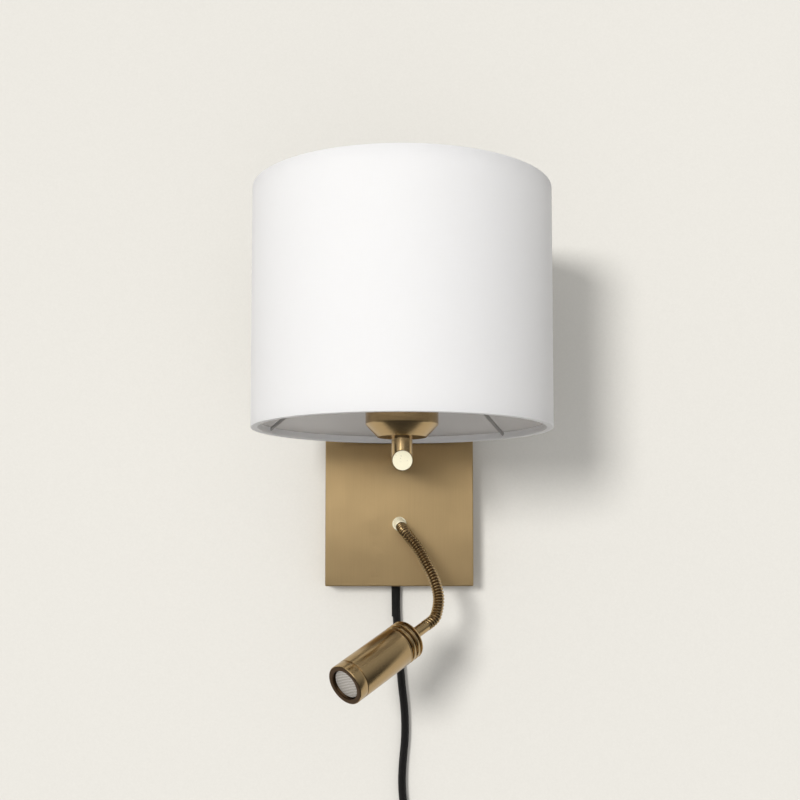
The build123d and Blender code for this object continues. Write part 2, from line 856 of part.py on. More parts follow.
def shade_frame():
    """Lower ring, three spokes and the fitter ring, welded in one piece."""
    bore = skirt_dia / 2 + fitter_gap
    outline = [
        (bore, fitter_bottom),
        (fitter_dia / 2, fitter_bottom),
        (fitter_dia / 2, fitter_bottom + fitter_thick),
        (bore, fitter_bottom + fitter_thick),
    ]
    frame = turned(outline, axis_place) + wire_ring(low_ring_z)
    for angle in spoke_angles:
        frame += spoke(angle, spoke_dia)
    clear = cup_dia / 2 + spoke_cup_gap
    cup_clear = turned([(0, cup_bottom), (clear, cup_bottom), (clear, fitter_bottom), (0, fitter_bottom)])
    return frame - axis_place * cup_clear


# ================================================================ reading head's place
head_axis = Vector(*head_direction).normalized()
head_rear = Vector(*head_front) - head_axis * head_long
neck_end = head_rear - head_axis * stem_long
head_place = Location(Plane(origin=head_rear, x_dir=Vector(0, 0, 1).cross(head_axis), z_dir=head_axis))

# ================================================================ gooseneck
root_axis = Vector(*neck_root_way).normalized()
flange_centre = Vector(0, plate_front - bushing_long, neck_root_height)
neck_start = flange_centre + root_axis * ferrule_long
# The hose's way between its straight ends, chosen by hand.
neck_route = [(11.0, -39.5, -24.0), (19.0, -48.0, -38.0), (25.2, -54.5, -52.0), (27.2, -60.0, -65.0)]
bend_start = neck_start + root_axis * neck_end_straight
bend_end = neck_end - head_axis * neck_end_straight
neck_path = Wire(
    [
        Line(neck_start, bend_start),
        Spline(bend_start, *neck_route, bend_end, tangents=[root_axis, head_axis]),
        Line(bend_end, neck_end),
    ]
)
link_step = (neck_path.length + neck_joint_gap) / neck_links
link_long = link_step - neck_joint_gap
rib_pitch = link_long / ribs_per_link


def neck_plane(distance):
    """The hose's cross-section at a distance along its centreline, with its X axis kept level."""
    origin = neck_path.position_at(distance, PositionMode.LENGTH)
    along = neck_path.tangent_at(distance, PositionMode.LENGTH)
    side = Vector(1, 0, 0) - along * along.X
    return Plane(origin=origin, x_dir=side, z_dir=along)


def neck_link(index):
    """One ribbed length of the hose, with its bore."""
    start = index * link_step
    valley, crest = neck_valley_dia / 2, neck_dia / 2
    sections = []
    for rib in range(ribs_per_link):
        for share, radius in ((0, valley), (0.2, crest), (0.65, crest), (0.9, valley)):
            sections.append((start + (rib + share) * rib_pitch, radius))
    sections.append((start + link_long, valley))
    hose = loft([neck_plane(place) * Circle(radius) for place, radius in sections], ruled=True)
    bore = loft([neck_plane(place) * Circle(neck_bore / 2) for place, _ in sections[::2]], ruled=True)
    return hose - bore


def neck_bushing():
    """Flange on the wall plate with a slanted ferrule, screwed in from the front."""
    root = neck_root_height
    inner = plate_inner_front + bushing_nut_thick + 1
    flange = rod((0, plate_front, root), flange_centre, bushing_dia)
    flange = chamfer(flange.faces().sort_by(Axis.Y)[0].edges(), 0.5)
    ferrule = rod(flange_centre - root_axis * ferrule_dia, neck_start, ferrule_dia)
    ferrule = chamfer(ferrule.faces().sort_by(Axis.Y)[0].edges(), 0.3)
    ferrule -= block((-ferrule_dia, flange_centre.Y, root - ferrule_dia), (ferrule_dia, 0, root + ferrule_dia))
    bushing = flange + ferrule + rod((0, plate_front, root), (0, inner, root), bushing_thread_dia)
    bushing -= rod((0, inner, root), flange_centre, neck_bore)
    return bushing - rod(flange_centre - root_axis * neck_bore / 2, neck_start, neck_bore)


def bushing_nut():
    """Nut on the gooseneck's bushing inside the plate."""
    start = (0, plate_inner_front, neck_root_height)
    return hex_nut(start, (0, 1, 0), bushing_nut_flats, bushing_nut_thick, bushing_thread_dia)


# ================================================================ reading head
head_radius = head_dia / 2
head_bore = head_radius - head_wall
bezel_start = head_long - bezel_long
lens_top = head_long - bezel_lip - baffle_long
lens_bottom = lens_top - lens_thick
board_top = lens_bottom - reflector_high
sink_top = board_top - board_thick


def neck_stem():
    """Plain tube that joins the hose to the head."""
    outer, bore = stem_dia / 2, stem_bore / 2
    outline = [(bore, -stem_long), (outer, -stem_long), (outer, stem_in_head), (bore, stem_in_head)]
    return turned(outline, head_place)


def head_rear_cap():
    """Turned rear cap with three grooves."""
    hole = stem_dia / 2 + fit_gap
    outline = [
        (hole, 0),
        (head_radius, 0),
        (head_radius, rear_cap_long),
        (head_bore, rear_cap_long),
        (head_bore, rear_cap_end),
        (hole, rear_cap_end),
    ]
    cap = turned(outline)
    rear_edge = cap.edges().filter_by(GeomType.CIRCLE).group_by(Axis.Z)[0].sort_by(SortBy.RADIUS)[-1]
    cap = fillet(rear_edge, rear_edge_radius)
    floor = head_radius - groove_deep
    for place in groove_places:
        low, high = place - groove_wide / 2, place + groove_wide / 2
        beyond, flare = head_radius + groove_deep, groove_flare
        cap -= turned([(floor, low + flare), (beyond, low - flare), (beyond, high + flare), (floor, high - flare)])
    return head_place * cap


def head_body():
    """Brushed brass barrel with a spigot for the rear cap."""
    spigot = head_bore - fit_gap
    outline = [
        (spigot - spigot_wall, rear_cap_long - spigot_long),
        (spigot, rear_cap_long - spigot_long),
        (spigot, rear_cap_long),
        (head_radius, rear_cap_long),
        (head_radius, bezel_start),
        (head_bore, bezel_start),
        (head_bore, rear_cap_long + spigot_wall),
        (spigot - spigot_wall, rear_cap_long + spigot_wall),
    ]
    return turned(outline, head_place)


def head_bezel():
    """Front ring with a fine seam, which holds the baffle and the lens."""
    inner = head_radius - bezel_rim
    seat = lens_dia / 2 + fit_gap
    outline = [
        (seat, bezel_start),
        (head_radius - bezel_chamfer, bezel_start),
        (head_radius - bezel_chamfer, bezel_start + bezel_seam),
        (head_radius, bezel_start + bezel_seam),
        (head_radius, head_long - bezel_chamfer),
        (head_radius - bezel_chamfer, head_long),
        (inner, head_long),
        (inner, lens_top),
        (seat, lens_top),
    ]
    return turned(outline, head_place)


def head_baffle():
    """Black conical ring between the bezel and the lens."""
    outer = head_radius - bezel_rim
    opening = baffle_opening_dia / 2
    front = lens_top + baffle_long
    outline = [(opening, lens_top), (outer, lens_top), (outer, front), (outer - baffle_edge, front)]
    return turned(outline, head_place)


def head_lens():
    """Pressed lens with a slightly domed face."""
    radius = lens_dia / 2
    crown = lens_top + lens_dome
    land = baffle_opening_dia / 2 - lens_land
    corners = [(0, crown), (0, lens_bottom), (radius, lens_bottom), (radius, lens_top), (land, lens_top)]
    edge = Polyline(*[(r, 0, h) for r, h in corners])
    dome = TangentArc((0, 0, crown), (land, 0, lens_top), tangent=(1, 0, 0))
    return head_place * revolve(make_face([*edge.edges(), dome]), Axis.Z)


def head_reflector():
    """Metallised cone between the LED and the lens."""
    wide, narrow = lens_dia / 2 - reflector_gap, reflector_narrow
    outline = [
        (narrow, board_top),
        (narrow + reflector_wall, board_top),
        (wide, lens_bottom),
        (wide - reflector_wall, lens_bottom),
    ]
    return turned(outline, head_place)


def led_board():
    """Round aluminium board under the LED."""
    board = Pos(0, 0, sink_top + board_thick / 2) * Cylinder(board_dia / 2, board_thick)
    for side in (-1, 1):
        hole = Pos(side * (board_dia / 2 - board_hole_edge), 0, sink_top + board_thick / 2)
        board -= hole * Cylinder(board_hole_dia / 2, board_thick)
    return head_place * board


def led_chip():
    """The reading light's LED."""
    return head_place * Pos(0, 0, board_top + chip_thick / 2) * Box(chip_side, chip_side, chip_thick)


def heat_sink():
    """Finned aluminium core behind the LED, with a bore for the wires."""
    low = sink_top - heat_sink_long
    middle = (low + sink_top) / 2
    radius = head_bore - fit_gap
    core = Pos(0, 0, middle) * Cylinder(radius, heat_sink_long)
    core -= Pos(0, 0, middle) * Cylinder(heat_sink_bore / 2, heat_sink_long)
    for index in range(heat_sink_fins):
        slot = Rot(0, 0, index * 360 / heat_sink_fins) * Pos(radius, 0, middle - heat_sink_plain / 2)
        core -= slot * Box(*heat_sink_slot, heat_sink_long - heat_sink_plain)
    return head_place * core


# ================================================================ cord
def cord_points():
    """The hanging cord's corners, in front of the wall."""
    return [(x, -cord_from_wall, z) for x, z in [(outlet_x, cord_top), *cord_route]]


def tangent_radii(points):
    """Arc radii that take 0.45 of the shorter run beside each corner."""
    radii = []
    for before, here, after in zip(points, points[1:], points[2:]):
        into = Vector(*here) - Vector(*before)
        out = Vector(*after) - Vector(*here)
        turn = math.radians(into.get_angle(out))
        radii.append(0.45 * min(into.length, out.length) / math.tan(turn / 2))
    return radii


def biarc(start, start_way, end, end_way):
    """Two arcs that leave start and reach end along the given directions."""
    across = end - start
    ways = start_way + end_way
    slack = 2 * (1 - start_way.dot(end_way))
    reach = (-across.dot(ways) + math.sqrt(across.dot(ways) ** 2 + slack * across.dot(across))) / slack
    middle = (start + end + (start_way - end_way) * reach) * 0.5
    return [
        TangentArc(start, middle, tangent=start_way),
        TangentArc(middle, end, tangent=end_way * -1, tangent_from_first=False),
    ]


turn_step = cord_dia + turn_gap
turn_total = coil_turns * 360 + coil_leave_angle - coil_join_angle
layer_angle = (turn_total - 180) / 2
inner_radius = coil_outer_radius - turn_step * layer_angle / 360


def coil_point(angle):
    """Centre of the coiled cord, an angle after it joins the coil."""
    climb = min(1.0, max(0.0, (angle - layer_angle) / 180))
    after = max(0.0, angle - layer_angle - 180)
    radius = inner_radius + turn_step * (max(0.0, layer_angle - angle) + after) / 360
    radius -= climb_dip * (1 - math.cos(2 * math.pi * climb)) / 2
    depth = cord_from_wall + turn_step * (1 - math.cos(math.pi * climb)) / 2
    turned_by = math.radians(coil_join_angle + angle)
    x = coil_centre[0] + radius * math.cos(turned_by)
    z = coil_centre[1] + radius * math.sin(turned_by)
    return Vector(x, -depth, z)


def coil_way(angle):
    """Direction of the coiled cord at an angle."""
    return (coil_point(min(turn_total, angle + 0.01)) - coil_point(max(0, angle - 0.01))).normalized()


def coil_edges():
    """Quarter-turn biarcs along the coil, then a straight tail down to the plug."""
    steps = math.ceil(turn_total / 90)
    angles = [turn_total * step / steps for step in range(steps + 1)]
    ways = [coil_way(angle) for angle in angles[:-1]] + [Vector(0, 0, -1)]
    edges = []
    for first, second, way, next_way in zip(angles, angles[1:], ways, ways[1:]):
        edges += biarc(coil_point(first), way, coil_point(second), next_way)
    end = coil_point(turn_total)
    return edges + [Line(end, end + Vector(0, 0, -tail_long))]


def lead_edges():
    """A straight start in line with the hanging cord, then the bend to the coil's first turn."""
    points = cord_points()
    start = Vector(*points[-1])
    arrive = (start - Vector(*points[-2])).normalized()
    straight_end = start + arrive * cord_dia
    return [Line(start, straight_end)] + biarc(straight_end, arrive, coil_point(0), coil_way(0))


def least_gap(path):
    """Least clear gap between the cord's turns, on points two diameters or more apart along it."""
    step = 0.4 * cord_dia
    count = int(path.length / step)
    points = [path.position_at(step * index, PositionMode.LENGTH) for index in range(count)]
    apart = math.ceil(2 * cord_dia / step)
    gaps = []
    for index, point in enumerate(points):
        for other in points[index + apart :]:
            gaps.append((point - other).length)
    return min(gaps) - cord_dia


def swept(edges):
    """The cord's tube along joined edges."""
    path = Wire(edges)
    section = Plane(origin=path @ 0, z_dir=path % 0) * Circle(cord_dia / 2)
    tube_body = sweep(section, path=path)
    share = tube_body.volume / (section.area * path.length)
    print("tube volume over section times length:", round(share, 5))
    return tube_body, path


def hanging_edges():
    """Straight runs and tangent arcs of the hanging cord."""
    points = cord_points()
    radii = tangent_radii(points)
    print("cord radii:", [round(r) for r in radii])
    return FilletPolyline(*points, radius=radii).edges()


def tie_box(grow):
    """Rounded box round the coil's bundle at its right side."""
    low_x = coil_centre[0] + inner_radius - cord_dia / 2 - tie_gap - grow
    high_x = coil_centre[0] + coil_outer_radius + cord_dia / 2 + tie_gap + grow
    low_y = -cord_from_wall - turn_step - cord_dia / 2 - tie_gap - grow
    high_y = -cord_from_wall + cord_dia / 2 + grow / 2
    z = coil_centre[1]
    return block((low_x, low_y, z - tie_width / 2), (high_x, high_y, z + tie_width / 2))


def coil_tie():
    """Strap round the put-away coil."""
    band = tie_box(tie_thick) - tie_box(0)
    return fillet(band.edges().filter_by(Axis.Z), 0.4)


plug_top = coil_point(turn_total) + Vector(0, 0, -tail_long)


def plug_body():
    """Flat two-pin plug with a tapered neck."""
    x, y, top = plug_top.X, plug_top.Y, plug_top.Z
    neck_z = top - plug_neck_long
    bottom = neck_z - plug_long
    half, deep = plug_width / 2, plug_thick / 2
    shoulder = half * 0.62
    outline = [
        (x - shoulder, y, neck_z),
        (x + shoulder, y, neck_z),
        (x + half, y, neck_z - 9),
        (x + half * 0.93, y, bottom),
        (x - half * 0.93, y, bottom),
        (x - half, y, neck_z - 9),
    ]
    body = extrude(make_face(Polyline(*outline, close=True)), deep, both=True)
    body = fillet(body.edges().filter_by(Axis.Y), 3)
    neck = [(0, neck_z - 2), (plug_neck_dia / 2 + 1, neck_z - 2), (cord_dia / 2 + 0.6, top), (0, top)]
    return body + turned(neck, Pos(x, y, 0))


def plug_pins():
    """Two round pins with insulating sleeves, one group."""
    bottom = plug_top.Z - plug_neck_long - plug_long
    pins = Part()
    for side in (-1, 1):
        x = plug_top.X + side * pin_spacing / 2
        pin = rod((x, plug_top.Y, bottom), (x, plug_top.Y, bottom - pin_long), pin_dia)
        pins += fillet(pin.faces().sort_by(Axis.Z)[0].edges(), pin_dia / 2 - 0.3)
    return pins


# ================================================================ assembly
hanging_cord, hanging_path = swept(hanging_edges())
coiled_cord, coiled_path = swept(lead_edges() + coil_edges())
print("cord length:", round(hanging_path.length + coiled_path.length, 1))
print("least gap in the coil:", round(least_gap(coiled_path), 2))

nodes = {
    "wall_plate_cover": wall_plate_cover(),
    "wall_bracket": wall_bracket(),
    "cover_screws": cover_screws(),
    "led_driver": led_driver(),
    "terminal_block": terminal_block(),
    "terminal_screws": terminal_screws(),
    "cord_clamp": cord_clamp(),
    "clamp_screws": clamp_screws(),
    "cord_grommet": cord_grommet(),
    "cord_sleeve": cord_sleeve(),
    "mains_wires": mains_wires(),
    "driver_leads": feed_lead() + led_lead(),
    "lamp_lead": lamp_lead(),
    "arm_tube": arm_tube(),
    "arm_nipple": arm_nipple(),
    "arm_washer": arm_washer(),
    "arm_nut": arm_nut(),
    "switch_button": switch_button(),
    "switch_body": switch_body(),
    "riser_tube": riser_tube(),
    "riser_nipple": riser_nipple(),
    "riser_nut": riser_nut(),
    "holder_cup": holder_cup(),
    "lampholder_base": lampholder_base(),
    "lampholder_insulator": lampholder_insulator(),
    "lampholder_contact": lampholder_contact(),
    "lampholder_shell": lampholder_shell(),
    "lampholder_skirt": lampholder_skirt(),
    "shade_ring": shade_ring(),
    "bulb_cap": bulb_cap(),
    "bulb_glass": bulb_glass(),
    "shade_fabric": shade_fabric(),
    "shade_lining": shade_lining(),
    "shade_top_ring": wire_ring(high_ring_z),
    "shade_frame": shade_frame(),
    "neck_bushing": neck_bushing(),
    "bushing_nut": bushing_nut(),
    "neck_stem": neck_stem(),
    "head_rear_cap": head_rear_cap(),
    "head_body": head_body(),
    "head_bezel": head_bezel(),
    "head_baffle": head_baffle(),
    "head_lens": head_lens(),
    "head_reflector": head_reflector(),
    "led_board": led_board(),
    "led_chip": led_chip(),
    "heat_sink": heat_sink(),
    "cord": hanging_cord,
    "cord_coil": coiled_cord,
    "plug_body": plug_body(),
    "plug_pins": plug_pins(),
    "coil_tie": coil_tie(),
}
for index in range(neck_links):
    nodes[f"neck_link_{index + 1}"] = neck_link(index)

os.makedirs("parts", exist_ok=True)
for name, shape in nodes.items():
    shape.label = name
    export_step(shape, f"parts/{name}.step")
print("nodes:", len(nodes))
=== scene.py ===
import json
import math

import bmesh
import bpy
from mathutils import Matrix, Vector
from mathutils.geometry import interpolate_bezier


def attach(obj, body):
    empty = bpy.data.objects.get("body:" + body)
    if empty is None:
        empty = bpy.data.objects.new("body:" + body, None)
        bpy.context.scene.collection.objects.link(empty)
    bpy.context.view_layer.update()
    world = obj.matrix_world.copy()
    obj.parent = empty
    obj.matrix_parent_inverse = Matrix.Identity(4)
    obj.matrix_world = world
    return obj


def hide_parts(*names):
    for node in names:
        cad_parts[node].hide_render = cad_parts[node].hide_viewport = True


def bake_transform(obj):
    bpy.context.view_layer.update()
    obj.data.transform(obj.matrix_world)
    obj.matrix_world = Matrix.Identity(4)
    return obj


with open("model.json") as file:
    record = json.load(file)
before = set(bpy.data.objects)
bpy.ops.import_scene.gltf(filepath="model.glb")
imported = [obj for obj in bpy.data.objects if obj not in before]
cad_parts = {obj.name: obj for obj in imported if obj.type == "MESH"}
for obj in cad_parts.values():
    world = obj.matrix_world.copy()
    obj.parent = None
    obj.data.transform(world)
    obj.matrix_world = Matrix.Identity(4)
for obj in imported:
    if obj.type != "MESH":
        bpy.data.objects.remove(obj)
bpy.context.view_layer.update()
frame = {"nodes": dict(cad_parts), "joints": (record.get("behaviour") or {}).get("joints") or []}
scene = bpy.context.scene
scene.view_settings.view_transform = "Standard"


# --------------------------------------------------------------------------------------------------
# The studio: a pale plastered wall that the lamp hangs on, open behind the plate and clear from behind. One
# soft key light comes from the upper left in front. The room is bright towards a window there, and what
# surfaces mirror of it is set apart from what lights them.
wall_tone = (0.660, 0.648, 0.616)
wall_fleck = (0.690, 0.678, 0.646)
wall_half = 2.4
wall_opening_half = 0.0535
wall_set_back = 0.0005
backdrop_strength = 1.27
sharp_from = math.radians(32)


def plain_finish(name, colour, roughness, metallic=0.0):
    """A material with one colour, for patterns to be added to."""
    material = bpy.data.materials.new(name)
    material.use_nodes = True
    shader = material.node_tree.nodes["Principled BSDF"]
    shader.inputs["Base Color"].default_value = (*colour, 1)
    shader.inputs["Roughness"].default_value = roughness
    shader.inputs["Metallic"].default_value = metallic
    return material


def shader_of(material):
    """The material's surface shader."""
    return material.node_tree.nodes["Principled BSDF"]


def coordinates(material, size, place=None, wrapped=False, shift=None):
    """Object or wrapped coordinates over a grain size in metres, which is one number or one along each axis.
    They follow a piece's own frame where one is given."""
    nodes, links = material.node_tree.nodes, material.node_tree.links
    source = nodes.new("ShaderNodeTexCoord")
    mapping = nodes.new("ShaderNodeMapping")
    mapping.vector_type = "TEXTURE"
    mapping.inputs["Scale"].default_value = size if isinstance(size, tuple) else (size, size, size)
    if place:
        mapping.inputs["Location"].default_value = place.translation
        mapping.inputs["Rotation"].default_value = place.to_euler()
    elif shift:
        mapping.inputs["Location"].default_value = shift
    links.new(source.outputs["UV" if wrapped else "Object"], mapping.inputs["Vector"])
    return mapping.outputs["Vector"]


def grain(material, size, detail=2.0, place=None, wrapped=False, shift=None):
    """Noise whose grains have a size in metres."""
    nodes, links = material.node_tree.nodes, material.node_tree.links
    noise = nodes.new("ShaderNodeTexNoise")
    noise.inputs["Scale"].default_value = 1.0
    noise.inputs["Detail"].default_value = detail
    links.new(coordinates(material, size, place, wrapped, shift), noise.inputs["Vector"])
    return noise.outputs["Fac"]


def between(material, pattern, low, high, start=0.3, end=0.7):
    """A pattern stretched from start to end onto new limits."""
    nodes, links = material.node_tree.nodes, material.node_tree.links
    spread = nodes.new("ShaderNodeMapRange")
    spread.inputs["From Min"].default_value = start
    spread.inputs["From Max"].default_value = end
    spread.inputs["To Min"].default_value = low
    spread.inputs["To Max"].default_value = high
    links.new(pattern, spread.inputs["Value"])
    return spread.outputs["Result"]


def tint(material, pattern, other, amount=1.0, start=0.3, end=0.7):
    """Blends the material's colour towards another where the pattern is high."""
    nodes, links = material.node_tree.nodes, material.node_tree.links
    shader = shader_of(material)
    mix = nodes.new("ShaderNodeMix")
    mix.data_type = "RGBA"
    colour = shader.inputs["Base Color"]
    if colour.is_linked:
        links.new(colour.links[0].from_socket, mix.inputs["A"])
    else:
        mix.inputs["A"].default_value = colour.default_value
    mix.inputs["B"].default_value = (*other, 1)
    links.new(between(material, pattern, 0.0, amount, start, end), mix.inputs["Factor"])
    links.new(mix.outputs["Result"], colour)


def matt(material, pattern, low, high, start=0.3, end=0.7):
    """Lets the roughness follow a pattern."""
    material.node_tree.links.new(
        between(material, pattern, low, high, start, end), shader_of(material).inputs["Roughness"]
    )


def worn(material, low, high, size=0.002, detail=3):
    """Lets the roughness wander between two values over grains of a size in metres."""
    matt(material, grain(material, size, detail), low, high)


def relief(material, pattern, height, strength=1.0):
    """Fine relief of a height in metres, over any relief that is there."""
    nodes, links = material.node_tree.nodes, material.node_tree.links
    bump = nodes.new("ShaderNodeBump")
    bump.inputs["Distance"].default_value = height
    bump.inputs["Strength"].default_value = strength
    normal = shader_of(material).inputs["Normal"]
    if normal.is_linked:
        links.new(normal.links[0].from_socket, bump.inputs["Normal"])
    links.new(pattern, bump.inputs["Height"])
    links.new(bump.outputs["Normal"], normal)


def let_through(material, kind, colour, share, where=None):
    """Lets a share of the light through a thin material, or the share that a pattern gives."""
    nodes, links = material.node_tree.nodes, material.node_tree.links
    passing = nodes.new(kind)
    passing.inputs["Color"].default_value = (*colour, 1)
    mix = nodes.new("ShaderNodeMixShader")
    mix.inputs["Fac"].default_value = share
    if where:
        links.new(where, mix.inputs["Fac"])
    links.new(shader_of(material).outputs["BSDF"], mix.inputs[1])
    links.new(passing.outputs["BSDF"], mix.inputs[2])
    links.new(mix.outputs["Shader"], nodes["Material Output"].inputs["Surface"])


def shown(name, shape, material):
    """A new object from a bmesh, shaded smooth apart from its sharp edges."""
    mesh = bpy.data.meshes.new(name)
    shape.to_mesh(mesh)
    shape.free()
    mesh.shade_smooth()
    mesh.set_sharp_from_angle(angle=sharp_from)
    mesh.materials.append(material)
    piece = bpy.data.objects.new(name, mesh)
    scene.collection.objects.link(piece)
    return piece


plaster = plain_finish("wall_plaster", wall_tone, 0.9)
tint(plaster, grain(plaster, 0.0016, 4), wall_fleck, 0.6)
relief(plaster, grain(plaster, 0.0022, 3), 0.00012)
side = plaster.node_tree.nodes.new("ShaderNodeNewGeometry")
let_through(plaster, "ShaderNodeBsdfTransparent", (1, 1, 1), 1.0, side.outputs["Backfacing"])

shape = bmesh.new()
bmesh.ops.create_grid(shape, x_segments=3, y_segments=3, size=wall_half)
for corner in shape.verts:
    for axis in (0, 1):
        if abs(corner.co[axis]) < wall_half / 2:
            corner.co[axis] = math.copysign(wall_opening_half, corner.co[axis])
middle = min(shape.faces, key=lambda face: face.calc_center_median().length)
bmesh.ops.delete(shape, geom=[middle], context="FACES")
stood_up = Matrix.Rotation(math.radians(90), 3, "X")
bmesh.ops.rotate(shape, verts=shape.verts, cent=(0, 0, 0), matrix=stood_up)
bmesh.ops.translate(shape, verts=shape.verts, vec=(0, wall_set_back, 0))
wall = shown("wall", shape, plaster)

key = bpy.data.lights.new("key_light", "SUN")
key.energy = 2.26
key.angle = math.radians(14)
key.color = (1.0, 0.985, 0.955)
key_lamp = bpy.data.objects.new("key_light", key)
key_way = Vector((0.40, 0.90, -0.15)).normalized()
key_lamp.rotation_euler = key_way.to_track_quat("-Z", "Y").to_euler()
scene.collection.objects.link(key_lamp)
key_lamp.visible_glossy = False

room = bpy.data.worlds.new("room")
room.use_nodes = True
scene.world = room
room.cycles.sampling_method = "NONE"
room_nodes, room_links = room.node_tree.nodes, room.node_tree.links
fill = room_nodes["Background"]
fill.inputs["Color"].default_value = (1.0, 0.99, 0.97, 1)
outlook = room_nodes.new("ShaderNodeTexCoord")


def glow(way, start, end, low, high):
    """The room's brightness, rising smoothly as a direction nears the given one."""
    nearness = room_nodes.new("ShaderNodeVectorMath")
    nearness.operation = "DOT_PRODUCT"
    nearness.inputs[1].default_value = Vector(way).normalized()
    rise = room_nodes.new("ShaderNodeMapRange")
    rise.interpolation_type = "SMOOTHSTEP"
    for socket, value in zip(("From Min", "From Max", "To Min", "To Max"), (start, end, low, high)):
        rise.inputs[socket].default_value = value
    room_links.new(outlook.outputs["Generated"], nearness.inputs[0])
    room_links.new(nearness.outputs["Value"], rise.inputs["Value"])
    return rise.outputs["Result"]


def combined(way, first, second):
    """Two brightnesses, added or multiplied."""
    joined = room_nodes.new("ShaderNodeMath")
    joined.operation = way
    room_links.new(first, joined.inputs[0])
    room_links.new(second, joined.inputs[1])
    return joined.outputs["Value"]


window_way = (-0.32, -0.93, 0.20)
lamp_way = (-0.30, -0.93, 0.22)
ceiling_way = (0.2, -0.3, 1)
floor_way = (0.50, -0.60, -0.60)
above_sill = glow((0, 0, 1), -0.01, 0.09, 0.1, 1.0)
window = combined("MULTIPLY", glow(window_way, 0.60, 0.99, 0.0, 1.12), above_sill)
ceiling = glow(ceiling_way, 0.0, 0.9, 0.08, 0.48)
lamp_glint = glow(lamp_way, 0.970, 0.992, 0.0, 2.6)
mirrored = combined("ADD", combined("ADD", window, ceiling), lamp_glint)
daylight = glow(window_way, 0.3, 0.99, 0.11, 0.68)
floor_bounce = glow(floor_way, 0.0, 0.95, 0.0, 0.46)
scattered = combined("ADD", daylight, floor_bounce)
ray = room_nodes.new("ShaderNodeLightPath")
room_light = room_nodes.new("ShaderNodeMix")
room_links.new(ray.outputs["Is Diffuse Ray"], room_light.inputs["Factor"])
room_links.new(mirrored, room_light.inputs["A"])
room_links.new(scattered, room_light.inputs["B"])
room_links.new(room_light.outputs["Result"], fill.inputs["Strength"])
backdrop = room_nodes.new("ShaderNodeBackground")
backdrop.inputs["Color"].default_value = (*wall_tone, 1)
backdrop.inputs["Strength"].default_value = backdrop_strength
pick = room_nodes.new("ShaderNodeMixShader")
room_links.new(ray.outputs["Is Camera Ray"], pick.inputs["Fac"])
room_links.new(fill.outputs["Background"], pick.inputs[1])
room_links.new(backdrop.outputs["Background"], pick.inputs[2])
room_links.new(pick.outputs["Shader"], room_nodes["World Output"].inputs["Surface"])

lens = bpy.data.cameras.new("camera")
lens.lens = 55.5
lens.sensor_width = 36
lens.shift_y = 0.0935
camera = bpy.data.objects.new("camera", lens)
camera.location = (-0.0157, -0.9372, -0.0364)
camera.rotation_euler = (math.radians(94), 0, math.radians(-1.01))
scene.collection.objects.link(camera)
scene.camera = camera


# --------------------------------------------------------------------------------------------------
# The mains cord: two cores in a black braided textile sleeve, clamped inside the plate and let out at its
# lower edge. It hangs down the wall with the set it had in its box, and its spare length is tied in a coil
# against the wall.
cord_dia = 0.0058
cord_from_wall = 0.0034
cord_hang = [
    (-0.0024, -0.0360),
    (-0.0024, -0.0600),
    (-0.0016, -0.0850),
    (0.0005, -0.1060),
    (0.0016, -0.1260),
    (0.0044, -0.1480),
    (0.0047, -0.1680),
    (0.0026, -0.1870),
    (0.0020, -0.2050),
    (0.0040, -0.2220),
    (0.0048, -0.2330),
    (-0.0020, -0.2425),
    (-0.0130, -0.2500),
]
coil_centre = (0.0030, -0.2900)
coil_turns = 8
coil_outer_radius = 0.0420
coil_turn_step = 0.0064
coil_join = 135.0
coil_leave = 180.0
climb_dip = 0.0014
points_per_turn = 24
tail_long = 0.0440
tail_shares = (0.25, 0.6, 1.0)
cord_steps = 6
turned_in_all = coil_turns * 360 + coil_leave - coil_join
inward = (turned_in_all - 180) / 2
coil_inner_radius = coil_outer_radius - coil_turn_step * inward / 360

cord_way = [(x, -cord_from_wall, z) for x, z in cord_hang]
coil_points = round(turned_in_all / 360 * points_per_turn)
for step in range(coil_points + 1):
    angle = turned_in_all * step / coil_points
    climb = min(1.0, max(0.0, (angle - inward) / 180))
    outward = max(0.0, angle - inward - 180)
    radius = coil_inner_radius + coil_turn_step * (max(0.0, inward - angle) + outward) / 360
    radius -= climb_dip * (1 - math.cos(2 * math.pi * climb)) / 2
    depth = cord_from_wall + coil_turn_step * (1 - math.cos(math.pi * climb)) / 2
    at = math.radians(coil_join + angle)
    cord_way.append((coil_centre[0] + radius * math.cos(at), -depth, coil_centre[1] + radius * math.sin(at)))
tail_x, tail_y, tail_z = cord_way[-1]
cord_way += [(tail_x, tail_y, tail_z - tail_long * share) for share in tail_shares]

line = bpy.data.curves.new("cord_line", "CURVE")
line.dimensions = "3D"
line.resolution_u = cord_steps
spline = line.splines.new("NURBS")
spline.points.add(len(cord_way) - 1)
for point, place in zip(spline.points, cord_way):
    point.co = (*place, 1)
spline.order_u = 3
spline.use_endpoint_u = True
spline.resolution_u = cord_steps
carrier = bpy.data.objects.new("cord_line", line)
centreline = bpy.data.meshes.new_from_object(carrier)
line.bevel_depth = cord_dia / 2
line.bevel_resolution = cord_steps
line.use_fill_caps = True
cord_mesh = bpy.data.meshes.new_from_object(carrier)
cord_mesh.name = "textile_cord"
bpy.data.objects.remove(carrier)

